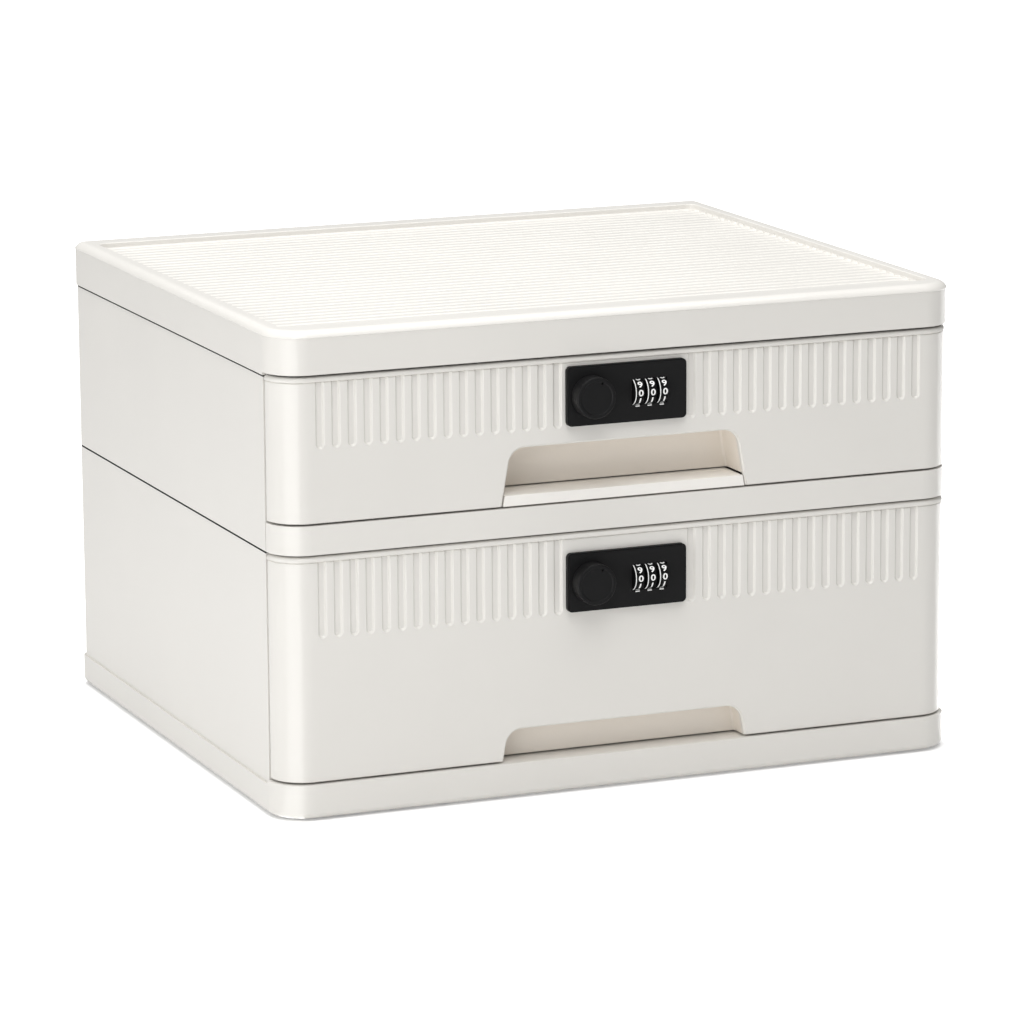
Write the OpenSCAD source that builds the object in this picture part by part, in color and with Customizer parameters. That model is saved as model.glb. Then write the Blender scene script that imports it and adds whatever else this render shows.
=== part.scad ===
// Desktop file drawer: a moulded cabinet with a shallow drawer over a deep one,
// each with a grip cut-out and a three-dial combination lock.
// Millimetres. +Z up, the drawers open towards -Y, +X is the right-hand side.
// The origin lies under the middle of the whole part, on the surface it stands on.

/* [Cabinet] */
// Width over the side panels
cabinet_w = 380; // [350:1:420]
// Depth from the drawer fronts to the back
cabinet_d = 330; // [300:1:370]
// Radius of the upright corners in front
corner_r = 18; // [14:0.5:20]
// Radius of the upright corners at the back
rear_r = 6; // [5.5:0.5:12]
// Thickness of the side panels
side_t = 2.6; // [2.2:0.1:3.2]
// Thickness of the back panels
back_t = 2.2; // [1.8:0.1:3]
// Open seam above and below each drawer front
seam = 1; // [0.8:0.1:1.4]
// Open seam between two panels of one side
side_seam = 0.8; // [0.5:0.1:1.2]

/* [Heights] */
// How far the rubber feet stand below the base
foot_proud = 0.8; // [0.5:0.1:1.5]
// Top of the base in front, above the ground
base_h = 18.5; // [16:0.5:24]
// Height of the deep drawer's front
lower_front_h = 117; // [100:1:140]
// Height of the rail between the drawers
rail_h = 15; // [14:0.5:20]
// Height of the shallow drawer's front
upper_front_h = 75; // [70:1:100]
// Height of the cover in front
cover_h = 22.5; // [21.5:0.5:28]

/* [Cover and base] */
// How far the cover stands proud of the sides
cover_over = 1; // [0.6:0.1:2]
// How far the base stands proud of the sides
base_over = 1.3; // [0.6:0.1:2]
// Radius of the cover's upper edge
cover_fillet = 5.5; // [4:0.5:6]
// Radius of the base's lower edge
base_fillet = 3; // [2:0.5:3.5]
// Thickness of the cover's skirt
skirt_t = 2; // [1.8:0.1:2]
// Thickness of the base's skirt
base_skirt_t = 4; // [4:0.5:6]
// Width of the rim at the sides of the recessed top
rim_side = 10; // [8:1:25]
// Width of the rim in front of the recessed top
rim_front = 16; // [10:1:25]
// Width of the rim behind the recessed top
rim_back = 17; // [9:1:25]
// Depth of the recessed top below its rim
top_drop = 2.8; // [1:0.1:3.4]
// Corner radius of the recessed top
top_r = 5; // [4:1:14]
// Spacing of the ribs on the recessed top
rib_pitch = 8.6; // [6:0.2:12]
// Width of the groove between two ribs
rib_gap = 4.3; // [2:0.1:5]
// Depth of the groove between two ribs
rib_depth = 0.5; // [0.4:0.1:1.2]
// Thickness of the flat plates of cover, deck and base
plate_t = 2.5; // [2.2:0.1:3.2]

/* [Drawer fronts] */
// Thickness of a drawer front
front_t = 2.5; // [2.2:0.1:3.5]
// Height of the lip along the top of a front
lip_h = 2.6; // [2:0.1:4]
// How far the lip stands out from the face
lip_step = 0.5; // [0.3:0.1:0.8]
// Grooves on each side of the lock
groove_count = 16; // [8:1:16]
// Spacing of the grooves
groove_pitch = 8.6; // [7:0.1:8.8]
// Width of a groove
groove_w = 4.2; // [3:0.1:5]
// Depth of a groove
groove_depth = 1.2; // [0.6:0.1:1.4]
// Smooth width between the two groups of grooves
groove_space = 71; // [70:1:76]
// Length of the grooves on the shallow drawer
upper_groove_l = 34; // [20:1:38]
// Length of the grooves on the deep drawer
lower_groove_l = 39.5; // [20:1:60]

/* [Grips] */
// Width of the grip cut-out at its foot
grip_w = 137; // [110:1:160]
// Lean of the cut-out's sides
grip_slant = 10; // [5:1:15]
// Corner radius of the cut-out
grip_r = 9; // [6:0.5:10]
// Height of the shallow drawer's cut-out
upper_grip_h = 30; // [26:0.5:31]
// Height of the deep drawer's cut-out
lower_grip_h = 16.5; // [14:0.5:24]
// Depth of the shallow drawer's grip pocket
upper_grip_d = 22; // [18:1:32]
// Depth of the deep drawer's grip pocket
lower_grip_d = 13; // [12:1:20]
// How far the pocket rises behind the cut-out's upper edge
grip_rise = 3.5; // [2:0.5:4]
// Wall of the grip pocket
grip_wall = 2; // [1.6:0.1:2.4]
// Height of the tray's step that shows in the upper cut-out
grip_step_h = 5.5; // [5:0.5:8]

/* [Trays and runners] */
// Wall of a drawer tray
tray_t = 2.2; // [1.8:0.1:2.8]
// Space between a tray's wall and the side panel
tray_gap = 9.4; // [9:0.1:12]
// Space between a front and its tray
double_gap = 6; // [5:0.5:8]
// Space between a closed tray and the ribs that hold the back panels
tray_rear_gap = 9.4; // [4:0.2:14]
// Height of the tray's sliding rib above its floor
rib_up = 28; // [28:1:34]
// Thickness of the tray's sliding rib
rib_t = 3; // [2.5:0.5:4]
// Running gap above and below the rib
run_gap = 0.3; // [0.2:0.05:0.6]
// How far a drawer pulls out
travel = 235; // [180:5:240]
// Distance from a tray's back to its stop tab
tab_back = 15; // [5:1:20]

/* [Lock] */
// Width of the lock's bezel
lock_w = 66.6; // [66:0.2:69]
// Height of the lock's bezel
lock_h = 31; // [29:0.5:31]
// How far the bezel stands out
bezel_t = 3; // [2:0.5:4]
// Corner radius of the bezel
bezel_r = 2.5; // [1:0.5:4]
// Lock centre below the top of the shallow drawer's front
upper_lock_drop = 20.3; // [19.5:0.1:21]
// Lock centre below the top of the deep drawer's front
lower_lock_drop = 25.6; // [20:0.1:26]
// Diameter of the knob
knob_d = 21.5; // [18:0.5:23]
// How far the knob stands out from the bezel
knob_l = 8.5; // [6:0.5:12]
// Knob centre left of the lock's centre
knob_off = 20.8; // [20:0.1:21]
// Diameter of the spindle
spindle_d = 8; // [7:0.5:9]
// Reach of the cam from the spindle's centre
cam_l = 32; // [31.5:0.1:32]
// Diameter of a number dial
dial_d = 14.4; // [13.6:0.2:15]
// Width of a number dial
dial_w = 5.4; // [4.8:0.1:5.6]
// Spacing of the number dials
dial_pitch = 6.8; // [6.6:0.1:6.9]
// Middle dial right of the lock's centre
dial_off = 12.3; // [12:0.1:12.6]
// How far a dial stands out from the bezel
dial_proud = 4; // [3:0.1:4.4]
// Diameter of the dials' axle
axle_d = 3; // [2:0.5:3]
// Running clearance of spindle and dials, on the radius
run_fit = 0.06; // [0.03:0.01:0.1]

/* [Hidden] */
$fn = 48;
white = [0.88, 0.87, 0.85];
inner_white = [0.80, 0.79, 0.76];
black = [0.14, 0.14, 0.15];
steel = [0.66, 0.67, 0.69];
rubber = [0.25, 0.25, 0.25];

// Levels from the ground up
lower_z0 = base_h + seam;
lower_z1 = lower_z0 + lower_front_h;
rail_z0 = lower_z1 + seam;
rail_z1 = rail_z0 + rail_h;
upper_z0 = rail_z1 + seam;
upper_z1 = upper_z0 + upper_front_h;
cover_z0 = upper_z1 + seam;
cover_z1 = cover_z0 + cover_h;

// The side panels' levels: base and cover reach lower at the sides than in front
side_drop = 2;
skirt_drop = 1.5;
side_z0 = base_h - side_drop;
mid_z = rail_z0 - seam / 2;
lower_side_z1 = mid_z - side_seam / 2;
upper_side_z0 = mid_z + side_seam / 2;
skirt_z0 = cover_z0 - skirt_drop;
upper_side_z1 = skirt_z0 - side_seam;

// Plan
half_w = cabinet_w / 2;
inner_x = half_w - side_t;
straight_x = half_w - corner_r;
rear_x = half_w - rear_r;
rear_y = cabinet_d - rear_r;
front_end = corner_r + 0.4;
side_y0 = corner_r + side_seam;
return_w = 19;
return_l = 6;
fit_gap = 0.15;
over_max = max(cover_over, base_over);
reach = bezel_t + max(knob_l, dial_proud);
front_y = (reach - cabinet_d - over_max) / 2;

// Back panels stand in a groove between the sides' returns and a rib
back_y1 = cabinet_d - side_t - 0.1;
back_y0 = back_y1 - back_t;
groove_rib_t = 1.6;
groove_rib_y = back_y0 - 0.1 - groove_rib_t;
groove_rib_x = half_w - return_w;
back_half = groove_rib_x + return_l;
side_y1 = groove_rib_y - 3.4;

// Seats of the panels
tongue_h = 4;
ledge_w = 7.4;
post_r = 3.6;
post_x = inner_x - post_r;
post_y = 40;
post_ys = [post_y, cabinet_d - post_y];
base_post_h = 22;
deck_post_h = 18;
thread_l = 12;
locate_t = 1.5;
locate_h = 3;
locate_end = 10;
ceiling_z = cover_z1 - top_drop - rib_depth - (plate_t - 0.5);
deck_z = rail_z1 - plate_t;
under_rib_h = 5.5;
under_rib_t = 1.8;
under_rib_end = 30;
under_rib_dx = 60;
under_rib_dy = 75;
under_rib_xs = [for (i = [-2, -1, 1, 2]) i * under_rib_dx];
under_rib_ys = [for (i = [-1:1]) cabinet_d / 2 + i * under_rib_dy];
base_rib_x = 95;

// Screws
screw_r = 1.5;
head_r = 3.1;
head_h = 2;
thread_gap = 0.05;
pass_gap = 0.25;

// Feet
foot_r = 9;
foot_t = 2.8;
foot_x = half_w - 32;
foot_ys = [32, cabinet_d - 32];

// Trays
tray_x = inner_x - tray_gap;
wall_y = lip_step + front_t;
tray_y0 = wall_y + double_gap;
tray_y1 = groove_rib_y - tray_rear_gap;
tray_r = 4;
lower_tray_z0 = lower_z0 + 0.8;
upper_tray_z0 = upper_z0 + 0.8;
tray_top_drop = 4.5;
lower_tray_z1 = lower_z1 - tray_top_drop;
upper_tray_z1 = upper_z1 - tray_top_drop;
flange_t = 2.2;
front_screw_x = tray_x - 28;
front_screw_up = 14;
boss_r = 4;

// Runners
runner_t = 2.2;
runner_y0 = side_y0 + 0.5;
runner_y1 = tray_y1 + 2.6;
flange_x = tray_x + 1;
lug_x = tray_x + 1.4;
lug_t = 2.5;
tab_x = tray_x + 4.8;
tab_t = 4;
tab_y = tray_y1 - tab_back - tab_t;
lug_y1 = tab_y - travel - 0.5;
rib_w = tray_gap - runner_t - 0.3;
runner_screw_up = 8.5;
web_up = 14;
web_down = 6;
runner_pad_h = 2;
runner_screw_l = 3;
runner_ys = [lug_y1 + 30, (lug_y1 + runner_y1) / 2, runner_y1 - 50];

// Locks
upper_lock_z = upper_z1 - upper_lock_drop;
lower_lock_z = lower_z1 - lower_lock_drop;
lock_body_w = 60;
lock_body_h = 25;
lock_wall = 1.8;
lock_front_t = 2;
face_y = lip_step;
bezel_y = face_y - 0.5 - bezel_t;
body_in_y = lock_front_t;
body_y1 = 22;
back_cover_t = 2;
bridge_t = 1.2;
bridge_y = body_y1 + back_cover_t;
bridge_h = 23;
cam_y = bridge_y + bridge_t + 0.8;
cam_t = 2;
cam_w = 12;
cam_hub_r = 7;
square_w = 5.6;
knob_x = -knob_off;
knob_clear = 0.3;
dial_r = dial_d / 2;
dial_y = bezel_y - dial_proud + dial_r;
dial_clear = 0.3;
window_w = dial_w + 0.7;
lock_post_r = 2.4;
lock_screw_r = 1.25;
lock_screws_at = [[-8, 8], [lock_body_w / 2 - 4, -8]];
gate_y = dial_y + dial_r + 1.6;
gate_t = 1.5;
gate_x0 = knob_x + spindle_d / 2 + 1.8;
gate_x1 = dial_off + dial_pitch;
gate_h = 8;
drive_r = spindle_d / 2 + 1.5;
strike_w = 50;
strike_t = 3;
strike_y1 = cam_y - 1;
strike_up = 2;
notch_half_w = lock_w / 2 + 2.2;
notch_half_h = bridge_h / 2 + 1.5;

// ---------- shared shapes ----------

// Puts pieces drawn from the front face into the part's frame
module cab() {
    translate([0, front_y, 0]) children();
}

// Keeps a piece, or its mirror image on the right-hand side
module on_side(side) {
    mirror([side > 0 ? 1 : 0, 0, 0]) children();
}

// Plan of the cabinet, moved inwards by inset; all corners share their centres
module plan(inset) {
    translate([-straight_x, inset]) square([2 * straight_x, cabinet_d - 2 * inset]);
    translate([-rear_x, corner_r]) square([2 * rear_x, cabinet_d - corner_r - inset]);
    translate([inset - half_w, corner_r]) square([cabinet_w - 2 * inset, rear_y - corner_r]);
    for (x = [-straight_x, straight_x]) translate([x, corner_r]) circle(corner_r - inset);
    for (x = [-rear_x, rear_x]) translate([x, rear_y]) circle(rear_r - inset);
}

// Wall between two insets of the plan
module wall_plan(outer, inner) {
    difference() {
        plan(outer);
        plan(inner);
    }
}

// The same wall in front only, with both rounded corners
module front_wall_plan(outer, inner) {
    intersection() {
        wall_plan(outer, inner);
        translate([-cabinet_w, -cabinet_d]) square([2 * cabinet_w, cabinet_d + corner_r]);
    }
}

// The same wall on the left side, with the rear corner and its return
module side_wall_plan(outer, inner) {
    intersection() {
        wall_plan(outer, inner);
        translate([-cabinet_w, side_y0]) square([cabinet_w - groove_rib_x, cabinet_d]);
    }
}

// Rectangle with round corners between two opposite corners
module round_rect(x0, y0, x1, y1, r) {
    translate([x0 + r, y0]) square([x1 - x0 - 2 * r, y1 - y0]);
    translate([x0, y0 + r]) square([x1 - x0, y1 - y0 - 2 * r]);
    for (x = [x0 + r, x1 - r], y = [y0 + r, y1 - r]) translate([x, y]) circle(r);
}

// Extrudes an outline drawn in X and Z along Y
module along_y(y0, y1) {
    translate([0, y1, 0]) rotate([90, 0, 0]) linear_extrude(y1 - y0) children();
}

module up(z0, z1) {
    translate([0, 0, z0]) linear_extrude(z1 - z0) children();
}

// Cylinder along Y, X or Z from one end to the other
module rod_y(x, z, r, y0, y1) {
    translate([x, y0, z]) rotate([-90, 0, 0]) cylinder(r = r, h = y1 - y0);
}

module rod_x(y, z, r, x0, x1) {
    translate([x0, y, z]) rotate([0, 90, 0]) cylinder(r = r, h = x1 - x0);
}

module rod_z(x, y, r, z0, z1) {
    translate([x, y, z0]) cylinder(r = r, h = z1 - z0);
}

module block(x0, y0, z0, x1, y1, z1) {
    translate([x0, y0, z0]) cube([x1 - x0, y1 - y0, z1 - z0]);
}

// Slab with the cabinet's plan whose upper edge is rounded by f
module round_edge_slab(inset, z0, z1, f) {
    up(z0, z1 - f) plan(inset);
    up(z0, z1) plan(inset + f);
    rod_x(inset + f, z1 - f, f, -straight_x, straight_x);
    rod_x(cabinet_d - inset - f, z1 - f, f, -rear_x, rear_x);
    for (x = [inset + f - half_w, half_w - inset - f])
        rod_y(x, z1 - f, f, corner_r, rear_y);
    for (sx = [-1, 1], sy = [0, 1])
        translate([sx * (sy == 0 ? straight_x : rear_x), sy == 0 ? corner_r : rear_y, z1 - f])
            mirror([sx < 0 ? 1 : 0, 0, 0])
            mirror([0, sy == 0 ? 1 : 0, 0])
            rotate_extrude(angle = 90)
                edge_profile((sy == 0 ? corner_r : rear_r) - inset - f, f);
}

// Quarter round of radius f at distance a from the axis
module edge_profile(a, f) {
    square([a, f]);
    intersection() {
        translate([a, 0]) circle(f);
        square([a + f, f]);
    }
}

// Outline of a grip cut-out: leaning sides and two round upper corners
function grip_arc(half, h, r) = [
    for (i = [0:8]) let (a = grip_slant + i * (90 - grip_slant) / 8)
        [half - (h - r) * tan(grip_slant) - r / cos(grip_slant) + r * cos(a), h - r + r * sin(a)]
];

module grip_outline(h, grow) {
    right = grip_arc(grip_w / 2 + grow / cos(grip_slant), h + grow, grip_r + grow);
    left = [for (i = [len(right) - 1:-1:0]) [-right[i][0], right[i][1]]];
    foot = grip_w / 2 + grow / cos(grip_slant);
    polygon(concat([[foot, 0]], right, left, [[-foot, 0]]));
}

// Screw pointing up: the underside of its head is at z, its thread ends at z + l
module screw_up(x, y, z, l) {
    rod_z(x, y, screw_r, z, z + l);
    difference() {
        rod_z(x, y, head_r, z - head_h, z);
        block(x - head_r, y - 0.4, z - head_h - 1, x + head_r, y + 0.4, z - head_h + 0.8);
    }
}

// ---------- cabinet ----------

// Lid with a rounded upper edge, a recessed ribbed top and a hollow underside
module top_cover() {
    recess_y0 = rim_front - cover_over;
    recess_y1 = cabinet_d + cover_over - rim_back;
    recess_x = half_w + cover_over - rim_side;
    ribs = floor((recess_y1 - recess_y0 - rib_gap) / rib_pitch);
    first = (recess_y0 + recess_y1 - ribs * rib_pitch) / 2;
    color(white) cab() difference() {
        union() {
            difference() {
                round_edge_slab(-cover_over, skirt_z0, cover_z1, cover_fillet);
                up(skirt_z0 - 1, ceiling_z) plan(skirt_t - cover_over);
            }
            // bosses that stand on the upper side panels
            for (side = [-1, 1], y = post_ys)
                rod_z(side * post_x, y, post_r, upper_side_z1, ceiling_z);
            // stiffening ribs under the plate
            for (x = under_rib_xs)
                block(x - under_rib_t / 2, under_rib_end, ceiling_z - under_rib_h,
                    x + under_rib_t / 2, cabinet_d - under_rib_end, ceiling_z);
            for (y = under_rib_ys)
                block(-straight_x, y - under_rib_t / 2, ceiling_z - under_rib_h,
                    straight_x, y + under_rib_t / 2, ceiling_z);
            // rib that the upper cam turns up behind
            block(knob_x - strike_w / 2, strike_y1 - strike_t, upper_z1 + strike_up,
                knob_x + strike_w / 2, strike_y1, ceiling_z);
        }
        // the skirt is shorter in front, above the drawer
        block(-cabinet_w, -cabinet_d, skirt_z0 - 1, cabinet_w, front_end, cover_z0);
        up(cover_z1 - top_drop, cover_z1 + 1)
            round_rect(-recess_x, recess_y0, recess_x, recess_y1, top_r);
        for (i = [0:ribs])
            block(i == 0 || i == ribs ? top_r - recess_x : -recess_x,
                first + i * rib_pitch - rib_gap / 2, cover_z1 - top_drop - rib_depth,
                i == 0 || i == ribs ? recess_x - top_r : recess_x,
                first + i * rib_pitch + rib_gap / 2, cover_z1 - top_drop + 0.1);
        for (side = [-1, 1], y = post_ys)
            rod_z(side * post_x, y, screw_r + thread_gap, upper_side_z1 - 1, upper_side_z1 + thread_l + 0.5);
    }
}

// Plinth: a plate on a skirt with a round lower edge, raised in front under the drawer
module base() {
    color(white) cab() difference() {
        union() {
            difference() {
                union() {
                    translate([0, 0, side_z0 + foot_proud]) mirror([0, 0, 1])
                        round_edge_slab(-base_over, foot_proud, side_z0, base_fillet);
                    up(side_z0 - 1, base_h) intersection() {
                        plan(-base_over);
                        translate([-cabinet_w, -cabinet_d])
                            square([2 * cabinet_w, cabinet_d + front_end]);
                    }
                }
                up(foot_proud - 1, side_z0 - plate_t) plan(base_skirt_t - base_over);
            }
            for (side = [-1, 1], y = foot_ys)
                rod_z(side * foot_x, y, foot_r + 3, foot_proud, side_z0 - plate_t + 0.5);
            for (x = [-base_rib_x, base_rib_x])
                block(x - under_rib_t / 2, 4, foot_proud + 2, x + under_rib_t / 2, cabinet_d - 4,
                    side_z0 - plate_t + 0.5);
            block(-inner_x, (cabinet_d - under_rib_t) / 2, foot_proud + 2, inner_x,
                (cabinet_d + under_rib_t) / 2, side_z0 - plate_t + 0.5);
            // ribs that locate the side panels from inside
            for (side = [-1, 1])
                on_side(side) block(fit_gap - inner_x, post_y + locate_end, side_z0 - 0.5,
                    fit_gap + locate_t - inner_x, cabinet_d - post_y - locate_end, side_z0 + locate_h);
        }
        for (side = [-1, 1], y = foot_ys)
            rod_z(side * foot_x, y, foot_r + 0.2, foot_proud - 1, foot_t);
        for (side = [-1, 1], y = post_ys)
            rod_z(side * post_x, y, screw_r + pass_gap, side_z0 - plate_t - 1, side_z0 + 1);
    }
}

// Four pads in the sockets of the base
module rubber_feet() {
    color(rubber) cab()
        for (side = [-1, 1], y = foot_ys)
            translate([side * foot_x, y, 0]) {
                cylinder(r1 = foot_r - 0.6, r2 = foot_r, h = 0.6);
                rod_z(0, 0, foot_r, 0.6, foot_t);
            }
}

// Shelf between the drawers with the front rail and the lower cam's strike rib
module middle_deck() {
    color(white) cab() difference() {
        union() {
            up(rail_z0, rail_z1) front_wall_plan(0, front_t);
            up(deck_z, rail_z1) intersection() {
                plan(1);
                translate([-cabinet_w, 0]) square([2 * cabinet_w, corner_r]);
            }
            up(deck_z, rail_z1) intersection() {
                plan(side_t + 0.2);
                translate([-cabinet_w, 1]) square([2 * cabinet_w, groove_rib_y - 1.2]);
            }
            block(0.2 - groove_rib_x, corner_r, deck_z, groove_rib_x - 0.2, back_y1, rail_z1);
            for (side = [-1, 1]) on_side(side) {
                block(0.2 - inner_x, side_y0 + 1, lower_side_z1,
                    2.2 - inner_x, side_y1 - 4, deck_z + 0.5);
            }
            for (side = [-1, 1], y = post_ys)
                rod_z(side * (post_x - 0.3), y, post_r - 0.3, lower_side_z1, deck_z + 0.5);
            for (x = under_rib_xs)
                block(x - under_rib_t / 2, under_rib_end, deck_z - under_rib_h, x + under_rib_t / 2,
                    cabinet_d - under_rib_end, deck_z + 0.5);
            for (y = under_rib_ys)
                block(1 - inner_x, y - under_rib_t / 2, deck_z - under_rib_h, inner_x - 1,
                    y + under_rib_t / 2, deck_z + 0.5);
            block(knob_x - strike_w / 2, strike_y1 - strike_t, lower_z1 + strike_up,
                knob_x + strike_w / 2, strike_y1, deck_z + 0.5);
        }
        for (side = [-1, 1], y = post_ys)
            rod_z(side * post_x, y, screw_r + pass_gap, lower_side_z1 - 1, rail_z1 + 1);
    }
}

// Pads on a side panel that take a runner's screws
module runner_pads(rib_z) {
    for (y = runner_ys)
        translate([-inner_x - 0.5, y, rib_z + runner_screw_up])
            rotate([0, 90, 0]) cylinder(r = 3.6, h = runner_pad_h + 0.5);
}

module runner_pad_holes(rib_z) {
    for (y = runner_ys)
        rod_x(y, rib_z + runner_screw_up, screw_r + thread_gap,
            runner_t - inner_x - runner_screw_l - 0.3, runner_pad_h - inner_x + 1);
}

// Rib that holds the back panel against the return of the side
module back_groove(z0, z1) {
    block(-inner_x - 0.5, groove_rib_y, z0, -groove_rib_x, groove_rib_y + groove_rib_t, z1);
}

// Left panel of the lower tier
module lower_side() {
    difference() {
        union() {
            up(side_z0, lower_side_z1) side_wall_plan(0, side_t);
            up(lower_side_z1 - 0.5, lower_side_z1 + tongue_h)
                side_wall_plan(side_t / 2 + fit_gap, side_t);
            back_groove(side_z0, lower_side_z1);
            block(-inner_x - 0.5, side_y0, lower_side_z1 - plate_t,
                ledge_w - inner_x, side_y1 - 4, lower_side_z1);
            for (y = post_ys) {
                rod_z(-post_x, y, post_r, side_z0, side_z0 + base_post_h);
                rod_z(-post_x, y, post_r, lower_side_z1 - deck_post_h, lower_side_z1);
                block(-inner_x - 0.5, y - 1, side_z0, -post_x, y + 1, side_z0 + base_post_h);
                block(-inner_x - 0.5, y - 1, lower_side_z1 - deck_post_h, -post_x, y + 1, lower_side_z1);
            }
            runner_pads(lower_tray_z0 + rib_up);
        }
        for (y = post_ys) {
            rod_z(-post_x, y, screw_r + thread_gap, side_z0 - 1, side_z0 + thread_l + 2);
            rod_z(-post_x, y, screw_r + thread_gap, lower_side_z1 - thread_l - 2, lower_side_z1 + 1);
        }
        runner_pad_holes(lower_tray_z0 + rib_up);
    }
}

// Left panel of the upper tier; its foot laps over the lower panel's tongue
module upper_side() {
    difference() {
        union() {
            up(upper_side_z0, upper_side_z1) side_wall_plan(0, side_t);
            up(upper_side_z1 - 0.5, upper_side_z1 + tongue_h)
                side_wall_plan(side_t / 2 + fit_gap, side_t);
            back_groove(rail_z1, upper_side_z1);
            block(-inner_x - 0.5, side_y0, rail_z1, ledge_w - inner_x, side_y1 - 4, rail_z1 + plate_t);
            block(-inner_x - 0.5, side_y0, upper_side_z1 - plate_t,
                ledge_w - inner_x, side_y1 - 4, upper_side_z1);
            runner_pads(upper_tray_z0 + rib_up);
        }
        up(upper_side_z0 - 1, lower_side_z1 + tongue_h) side_wall_plan(side_t / 2, side_t + 1);
        for (y = post_ys) {
            rod_z(-post_x, y, screw_r + pass_gap, rail_z1 - 1, rail_z1 + plate_t + 1);
            rod_z(-post_x, y, screw_r + pass_gap, upper_side_z1 - plate_t - 1, upper_side_z1 + 1);
        }
        runner_pad_holes(upper_tray_z0 + rib_up);
    }
}

module upper_left_side() {
    color(white) cab() upper_side();
}

module upper_right_side() {
    color(white) cab() mirror([1, 0, 0]) upper_side();
}

module lower_left_side() {
    color(white) cab() lower_side();
}

module lower_right_side() {
    color(white) cab() mirror([1, 0, 0]) lower_side();
}

// Flat back panel with shallow pressed ribs
module back_panel(z0, z1) {
    block(-back_half, back_y0, z0, back_half, back_y1, z1);
}

module upper_back_panel() {
    color(white) cab() back_panel(rail_z1, upper_side_z1 + tongue_h);
}

module lower_back_panel() {
    color(white) cab() back_panel(side_z0, deck_z);
}

// Runner on the left side: a web, a ledge, a hold-down lug in front and a rear stop
module runner(rib_z) {
    ledge_z = rib_z - run_gap;
    difference() {
        union() {
            block(-inner_x, runner_y0, ledge_z - web_down, runner_t - inner_x, runner_y1, rib_z + web_up);
            block(-inner_x, runner_y0, ledge_z - lug_t, -flange_x, runner_y1, ledge_z);
            block(-inner_x, runner_y0, rib_z + rib_t + run_gap, -lug_x,
                lug_y1, rib_z + rib_t + run_gap + lug_t);
            block(-inner_x, runner_y1 - 2, ledge_z, -flange_x, runner_y1, rib_z + rib_t + 4);
        }
        for (y = runner_ys)
            rod_x(y, rib_z + runner_screw_up, 3.6 + 0.2, -inner_x - 1, runner_t - inner_x + 1);
    }
}

module upper_left_runner() {
    color(inner_white) cab() runner(upper_tray_z0 + rib_up);
}

module upper_right_runner() {
    color(inner_white) cab() mirror([1, 0, 0]) runner(upper_tray_z0 + rib_up);
}

module lower_left_runner() {
    color(inner_white) cab() runner(lower_tray_z0 + rib_up);
}

module lower_right_runner() {
    color(inner_white) cab() mirror([1, 0, 0]) runner(lower_tray_z0 + rib_up);
}

// Screws from below through the base into the lower side panels
module base_screws() {
    color(steel) cab()
        for (side = [-1, 1], y = post_ys)
            screw_up(side * post_x, y, side_z0 - plate_t, plate_t + thread_l);
}

// Screws from above through the upper sides and the deck into the lower sides
module tier_screws() {
    color(steel) cab()
        for (side = [-1, 1], y = post_ys)
            translate([side * post_x, y, rail_z1 + plate_t]) mirror([0, 0, 1])
                screw_up(0, 0, 0, rail_z1 + plate_t - lower_side_z1 + thread_l);
}

// Screws from below through the upper sides into the cover's bosses
module cover_screws() {
    color(steel) cab()
        for (side = [-1, 1], y = post_ys)
            screw_up(side * post_x, y, upper_side_z1 - plate_t, plate_t + thread_l - 1);
}

// Screws that hold the four runners to the side panels
module runner_screws() {
    color(steel) cab()
        for (side = [-1, 1], rib_z = [lower_tray_z0 + rib_up, upper_tray_z0 + rib_up], y = runner_ys)
            on_side(side) translate([runner_t - inner_x, y, rib_z + runner_screw_up])
                rotate([0, -90, 0]) {
                    rod_z(0, 0, screw_r, 0, runner_screw_l);
                    rod_z(0, 0, 4.4, -1.2, 0);
                }
}

// ---------- drawers ----------

// Moulded tray with a sliding rib and a stop tab on each side
module drawer_tray(z0, z1, lock_z, notch_z, pocket_top, pocket_d) {
    rib_z = z0 + rib_up;
    difference() {
        union() {
            up(z0, z1) round_rect(-tray_x, tray_y0, tray_x, tray_y1, tray_r);
            for (side = [-1, 1]) on_side(side) {
                block(-tray_x - rib_w, tray_y0 + 6, rib_z, 0.5 - tray_x, tray_y1, rib_z + rib_t);
                block(-tab_x, tab_y, rib_z, 0.5 - tray_x, tab_y + tab_t, rib_z + rib_t + 6);
            }
        }
        up(z0 + tray_t, z1 + 1)
            round_rect(tray_t - tray_x, tray_y0 + tray_t, tray_x - tray_t, tray_y1 - tray_t,
                tray_r - tray_t);
        // the grip pocket and the lock reach through the front wall
        block(-grip_w / 2 - grip_wall - 1.5, tray_y0 - 1, notch_z,
            grip_w / 2 + grip_wall + 1.5, pocket_d + grip_wall + 0.6, pocket_top + 0.7);
        block(-notch_half_w, tray_y0 - 1, lock_z - notch_half_h,
            notch_half_w, tray_y0 + tray_t + 1, z1 + 1);
        for (x = [-front_screw_x, front_screw_x], z = front_screw_levels(z0, z1))
            rod_y(x, z, screw_r + pass_gap, tray_y0 - 1, tray_y0 + tray_t + 1);
    }
}

// Heights of the screws that join a tray to its front
function front_screw_levels(z0, z1) = [z0 + front_screw_up, z1 - front_screw_up + 3];

module upper_tray() {
    color(inner_white) cab() {
        drawer_tray(upper_tray_z0, upper_tray_z1, upper_lock_z, upper_tray_z0 + tray_t,
            upper_z0 + upper_grip_h + grip_rise + grip_wall, upper_grip_d);
        // step that shows at the foot of the cut-out, flush with the face
        intersection() {
            along_y(lip_step, upper_grip_d + grip_wall)
                translate([0, upper_z0]) grip_outline(upper_grip_h, -0.8);
            block(-grip_w, 0, upper_z0, grip_w, cabinet_d, upper_z0 + grip_step_h);
        }
    }
}

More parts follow.
